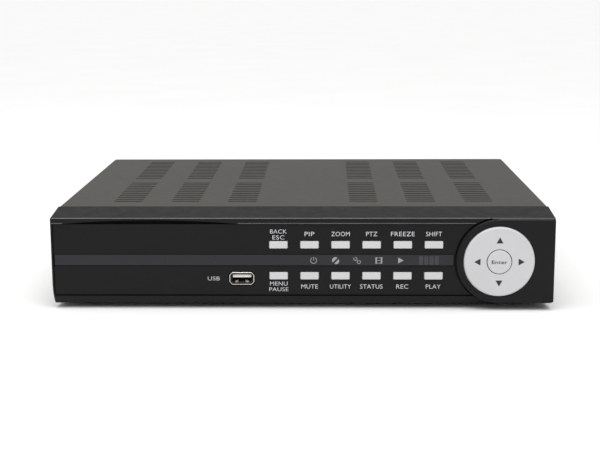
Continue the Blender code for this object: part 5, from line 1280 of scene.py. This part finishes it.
def makeMonitorSocket():
    x, z = centreOf("vga_socket")
    face = rearWall + monitor["proud"]

    def dee(shrink):
        wide, tall = monitor["wide"] - shrink, monitor["tall"] - shrink
        narrow = wide - monitor["slant"]
        return [(x + a, z + b) for a, b in ((wide, tall), (narrow, -tall), (-narrow, -tall), (-wide, tall))]

    rim = slab("monitorSocketShell", dee(0), rearWall - 0.002, face, "Y")
    roundOff(rim, 0.0011, 4, 30)
    carve(rim, slab("monitorMouth", dee(0.0005), rearWall + 0.0012, face + 0.001, "Y"))
    wide, tall = monitor["flange"]
    flangeLow = (x - wide, rearWall + 0.0003, z - tall)
    flange = softBlock("monitorFlange", flangeLow, (x + wide, rearWall + 0.001, z + tall), 0.0002)
    posts = []
    for side in (-1, 1):
        at = x + side * monitor["postAt"]
        hexagon = ofArc((at, z), monitor["post"], 0, 300, 5)
        post = slab("monitorPost", hexagon, rearWall + 0.0009, rearWall + 0.005, "Y")
        roundOff(post, 0.0003, 2)
        carve(post, addBarrel("postThread", (at, rearWall + 0.0046, z), monitor["thread"], 0.004, "Y", 24))
        posts.append(post)
    fitStill(joinUp(rim, flange, *posts), nickelFinish, "nickel", "vga_socket", angle=30)
    core = slab("monitorSocketCore", dee(0.0007), rearWall + 0.0013, face - 0.0012, "Y")
    holes = []
    for row, shift in ((1, 0.0), (0, 0.00115), (-1, 0.0)):
        for i in range(5):
            across = x + (i - 2) * monitor["pinPitch"] + shift - 0.0005
            at = (across, face - 0.001, z + row * monitor["rowPitch"])
            holes.append(addBarrel("pinHole", at, 0.0005, 0.002, "Y", 12))
    carve(core, joinUp(*holes))
    fitStill(core, moulded("blueCore", (0.02, 0.05, 0.24), 0.42, 0.2, 0.05), "nickel")
    fitStill(addSocketBody("monitorSocketBody", "vga_socket"), blackPartFinish, "nickel")


network = {"pitch": 0.00102, "wire": 0.00022, "lampAt": 0.0058, "lampHalf": 0.0012}
network.update({"green": (0.10, 0.5, 0.12), "amber": (0.75, 0.42, 0.05)})


def makeNetworkSocket():
    refine("lan_socket", "networkSocket", nickelFinish, "nickel", "chassis", 0.0002)
    x, z = centreOf("lan_socket")
    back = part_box("lan_socket")[1].y
    for i in range(8):
        at, half = x + (i - 3.5) * network["pitch"], network["wire"]
        shares = [k / 6 for k in range(7)]
        bow = [(back - 0.0102 + 0.0075 * s, z + 0.0033 - 0.0028 * sin(pi / 2 * s)) for s in shares]
        bow += [(b, c + 0.0003) for b, c in reversed(bow)]
        fitStill(slab(f"networkContact{i + 1}", bow, at - half, at + half, "X"), goldFinish, "nickel")
    half = network["lampHalf"]
    for name, side, colour in (("Left", -1, "green"), ("Right", 1, "amber")):
        at = x + side * network["lampAt"]
        low = (at - half, back - 0.0004, z + 0.0040)
        lamp = softBlock("networkLamp" + name, low, (at + half, back + 0.0001, z + 0.0056), 0.0002)
        fitStill(lamp, clearPlastic("lampLens" + str(side + 1), network[colour], 0.2, 0.3), "nickel")


def makeRearUsb():
    low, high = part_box("usb_rear_shell")
    x, z = centreOf("usb_rear_shell")
    skin = usb["shell"]
    tube = softBlock("usbRearShell", low, high, 0.0006, 3)
    outline = roundedRect((x, z), high.x - low.x - 2 * skin, high.z - low.z - 2 * skin, 0.0004)
    carve(tube, slab("usbRearMouth", outline, low.y + 0.001, high.y + 0.001, "Y"))
    roundOff(tube, 0.0001, 2, 60)
    fitStill(tube, nickelFinish, "nickel", "usb_rear_shell")
    top = high.z - skin - 0.0006
    tongueLow = (x - 0.0056, low.y + 0.0008, top - 0.0018)
    tongue = softBlock("usbRearTongue", tongueLow, (x + 0.0056, high.y - 0.0022, top), 0.0002)
    fitStill(tongue, ivoryFinish, "nickel")
    addContacts("usbRearContact", x, low.y + 0.002, high.y - 0.003, top - 0.00192, top - 0.0017)


makeBncSockets()
makePhonoSockets()
makeMonitorSocket()
makeNetworkSocket()
makeRearUsb()
say("rear sockets")

jack = {"bore": 0.0033, "deep": 0.0088, "sleeve": 0.0029, "sleeveLong": 0.006, "pin": 0.0010}


def makeDcJack():
    low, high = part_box("dc_jack")
    x, z = centreOf("dc_jack")
    body = softBlock("dcJack", low, high, 0.0006, 3)
    middle = (x, high.y - jack["deep"] / 2 + 0.001, z)
    carve(body, addBarrel("jackBore", middle, jack["bore"], jack["deep"] + 0.002))
    roundOff(body, 0.00025, 2, 60)
    fitStill(body, blackPartFinish, "black_abs", "dc_jack")
    mouth, long, tip = jack["sleeve"], jack["sleeveLong"], high.y - 0.0007
    profile = [(mouth, -long), (mouth + 0.0003, -long), (mouth + 0.0003, 0), (mouth, 0), (mouth, -long)]
    fitStill(turn("jackSleeve", fromEnd(tip, profile), (x, 0, z), steps=40), nickelFinish, "black_abs")
    pin, back = jack["pin"], high.y - jack["deep"] - 0.0003
    profile = [(0, back), (pin, back), (pin, tip - 0.0008), (pin * 0.6, tip - 0.0002), (0, tip)]
    fitStill(turn("jackPin", profile, (x, 0, z), steps=24), nickelFinish, "black_abs")


terminal = {"ways": 6, "pitch": 0.0038, "screw": 0.00125, "screwUp": 0.0034, "clamp": 0.0010, "slot": 0.0002}


def makeTerminalBlock():
    refine("terminal_block", "terminalBlock", terminalFinish, "terminal_green", "chassis", 0.0002)
    x, z = centreOf("terminal_block")
    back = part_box("terminal_block")[1].y
    slot, reach = terminal["slot"], terminal["clamp"]
    for i in range(terminal["ways"]):
        at = x + (i - (terminal["ways"] - 1) / 2) * terminal["pitch"]
        up = z + terminal["screwUp"]
        head = addBarrel(f"terminalScrew{i + 1}", (at, back + 0.00002, up), terminal["screw"], 0.0003)
        roundOff(head, 0.0001, 2)
        low = (at - 0.0016, back + 0.00004, up - slot)
        carve(head, addBlock("terminalSlot", low, (at + 0.0016, back + 0.001, up + slot)))
        fitStill(head, nickelFinish, "terminal_green")
        low = (at - reach, back - 0.0036, z - reach)
        clamp = softBlock(f"terminalClamp{i + 1}", low, (at + reach, back - 0.0016, z - reach * 0.3), 0.00012)
        fitStill(clamp, nickelFinish, "terminal_green")


rocker = {"markUp": 0.0042, "ring": 0.0011, "line": 0.00032, "bar": 0.0024, "edge": 0.0005}
inkBelow, inkAbove = -0.0001, 0.00003  # a mark's depth under and over the face that it lies on


def onFace(piece, mark, x, z):
    # turns a flat mark so that it lies on the sloping face under it
    place, normal = piece.ray_cast((x, cadBounds[1][1] + 0.05, z), (0, -1, 0))[1:3]
    pick(mark)
    mark.rotation_euler.x = atan2(normal.z, normal.y)
    mark.location = place
    bpy.ops.object.transform_apply(location=True, rotation=True, scale=True)
    fit(mark, printFinish, "rocker", "black_abs")


def makePowerSwitch():
    refine("power_switch_body", "switchBody", blackPartFinish, "black_abs", "chassis", 0.0003)
    tip = refine("power_rocker", "powerRocker", rockerFinish, "black_abs", "rocker", rocker["edge"], 30, 3)
    x, z = centreOf("power_rocker")
    bpy.context.view_layer.update()
    outline = roundedRect((0, 0), rocker["line"], rocker["bar"], 0.0001)
    onFace(tip, slab("rockerBar", outline, inkBelow, inkAbove, "Y"), x, z + rocker["markUp"])
    outer, inner = rocker["ring"], rocker["ring"] - rocker["line"]
    profile = [(inner, inkBelow), (outer, inkBelow), (outer, inkAbove), (inner, inkAbove), (inner, inkBelow)]
    onFace(tip, turn("rockerRing", profile, (0, 0, 0), steps=36), x, z - rocker["markUp"])


terminalFinish = moulded("terminalGreen", (0.02, 0.17, 0.07), 0.45, 0.2, 0.06)
rockerFinish = moulded("rockerBlack", (0.014, 0.014, 0.015), 0.32, 0.2, 0.08)
makeDcJack()
makeTerminalBlock()
makePowerSwitch()
say("power inlet, terminals and switch")


def dress(finish, *names):
    for name in names:
        nodes[name].data.materials.clear()
        nodes[name].data.materials.append(finish)


def dressInside():
    dress(trayFinish, "chassis_tray")
    dress(boardGreen("mainBoardMask", (0.010, 0.075, 0.035), middleOf("main_board")), "main_board")
    smallBoard = boardGreen("smallBoardMask", (0.012, 0.09, 0.04), middleOf("disk_board"))
    dress(smallBoard, "disk_board", "key_board")
    dress(brushed("extrudedAluminium", (0.62, 0.62, 0.63), 0.35, (1, 6, 1)), "heatsink")
    dress(brushed("castAluminium", (0.5, 0.5, 0.51), 0.5, (1, 1, 1)), "hard_disk")
    dress(plated("brightCell", (0.66, 0.66, 0.65), 0.25), "coin_cell")
    dress(ribbed("ribbonCores", (0.42, 0.42, 0.43), 0.55, 0.00127, "X"), "ribbon_cable")
    dress(moulded("redJacket", (0.5, 0.03, 0.02), 0.45, 0.2, 0.1), "sata_data_cable")
    dress(moulded("blackJacket", (0.028, 0.028, 0.03), 0.5, 0.2, 0.1), "sata_power_cable")
    dress(moulded("fanBlack", (0.016, 0.016, 0.017), 0.48, 0.3, 0.1), "fan_frame")
    dress(moulded("fanBlades", (0.022, 0.022, 0.024), 0.35, 0.2, 0.1), "fan_rotor")
    dress(clearPlastic("lightPipe", (0.82, 0.84, 0.86), 0.18, 0.85), "light_guide")
    dress(moulded("irFilter", (0.02, 0.006, 0.01), 0.16, 0.05, 0.1, Coat_Weight=0.4), "ir_receiver")
    dress(rubbery("silicone", (0.30, 0.31, 0.33), 0.6), "dome_mat")
    dress(bezelFinish, "ring_carrier")


dressInside()
say("inside")
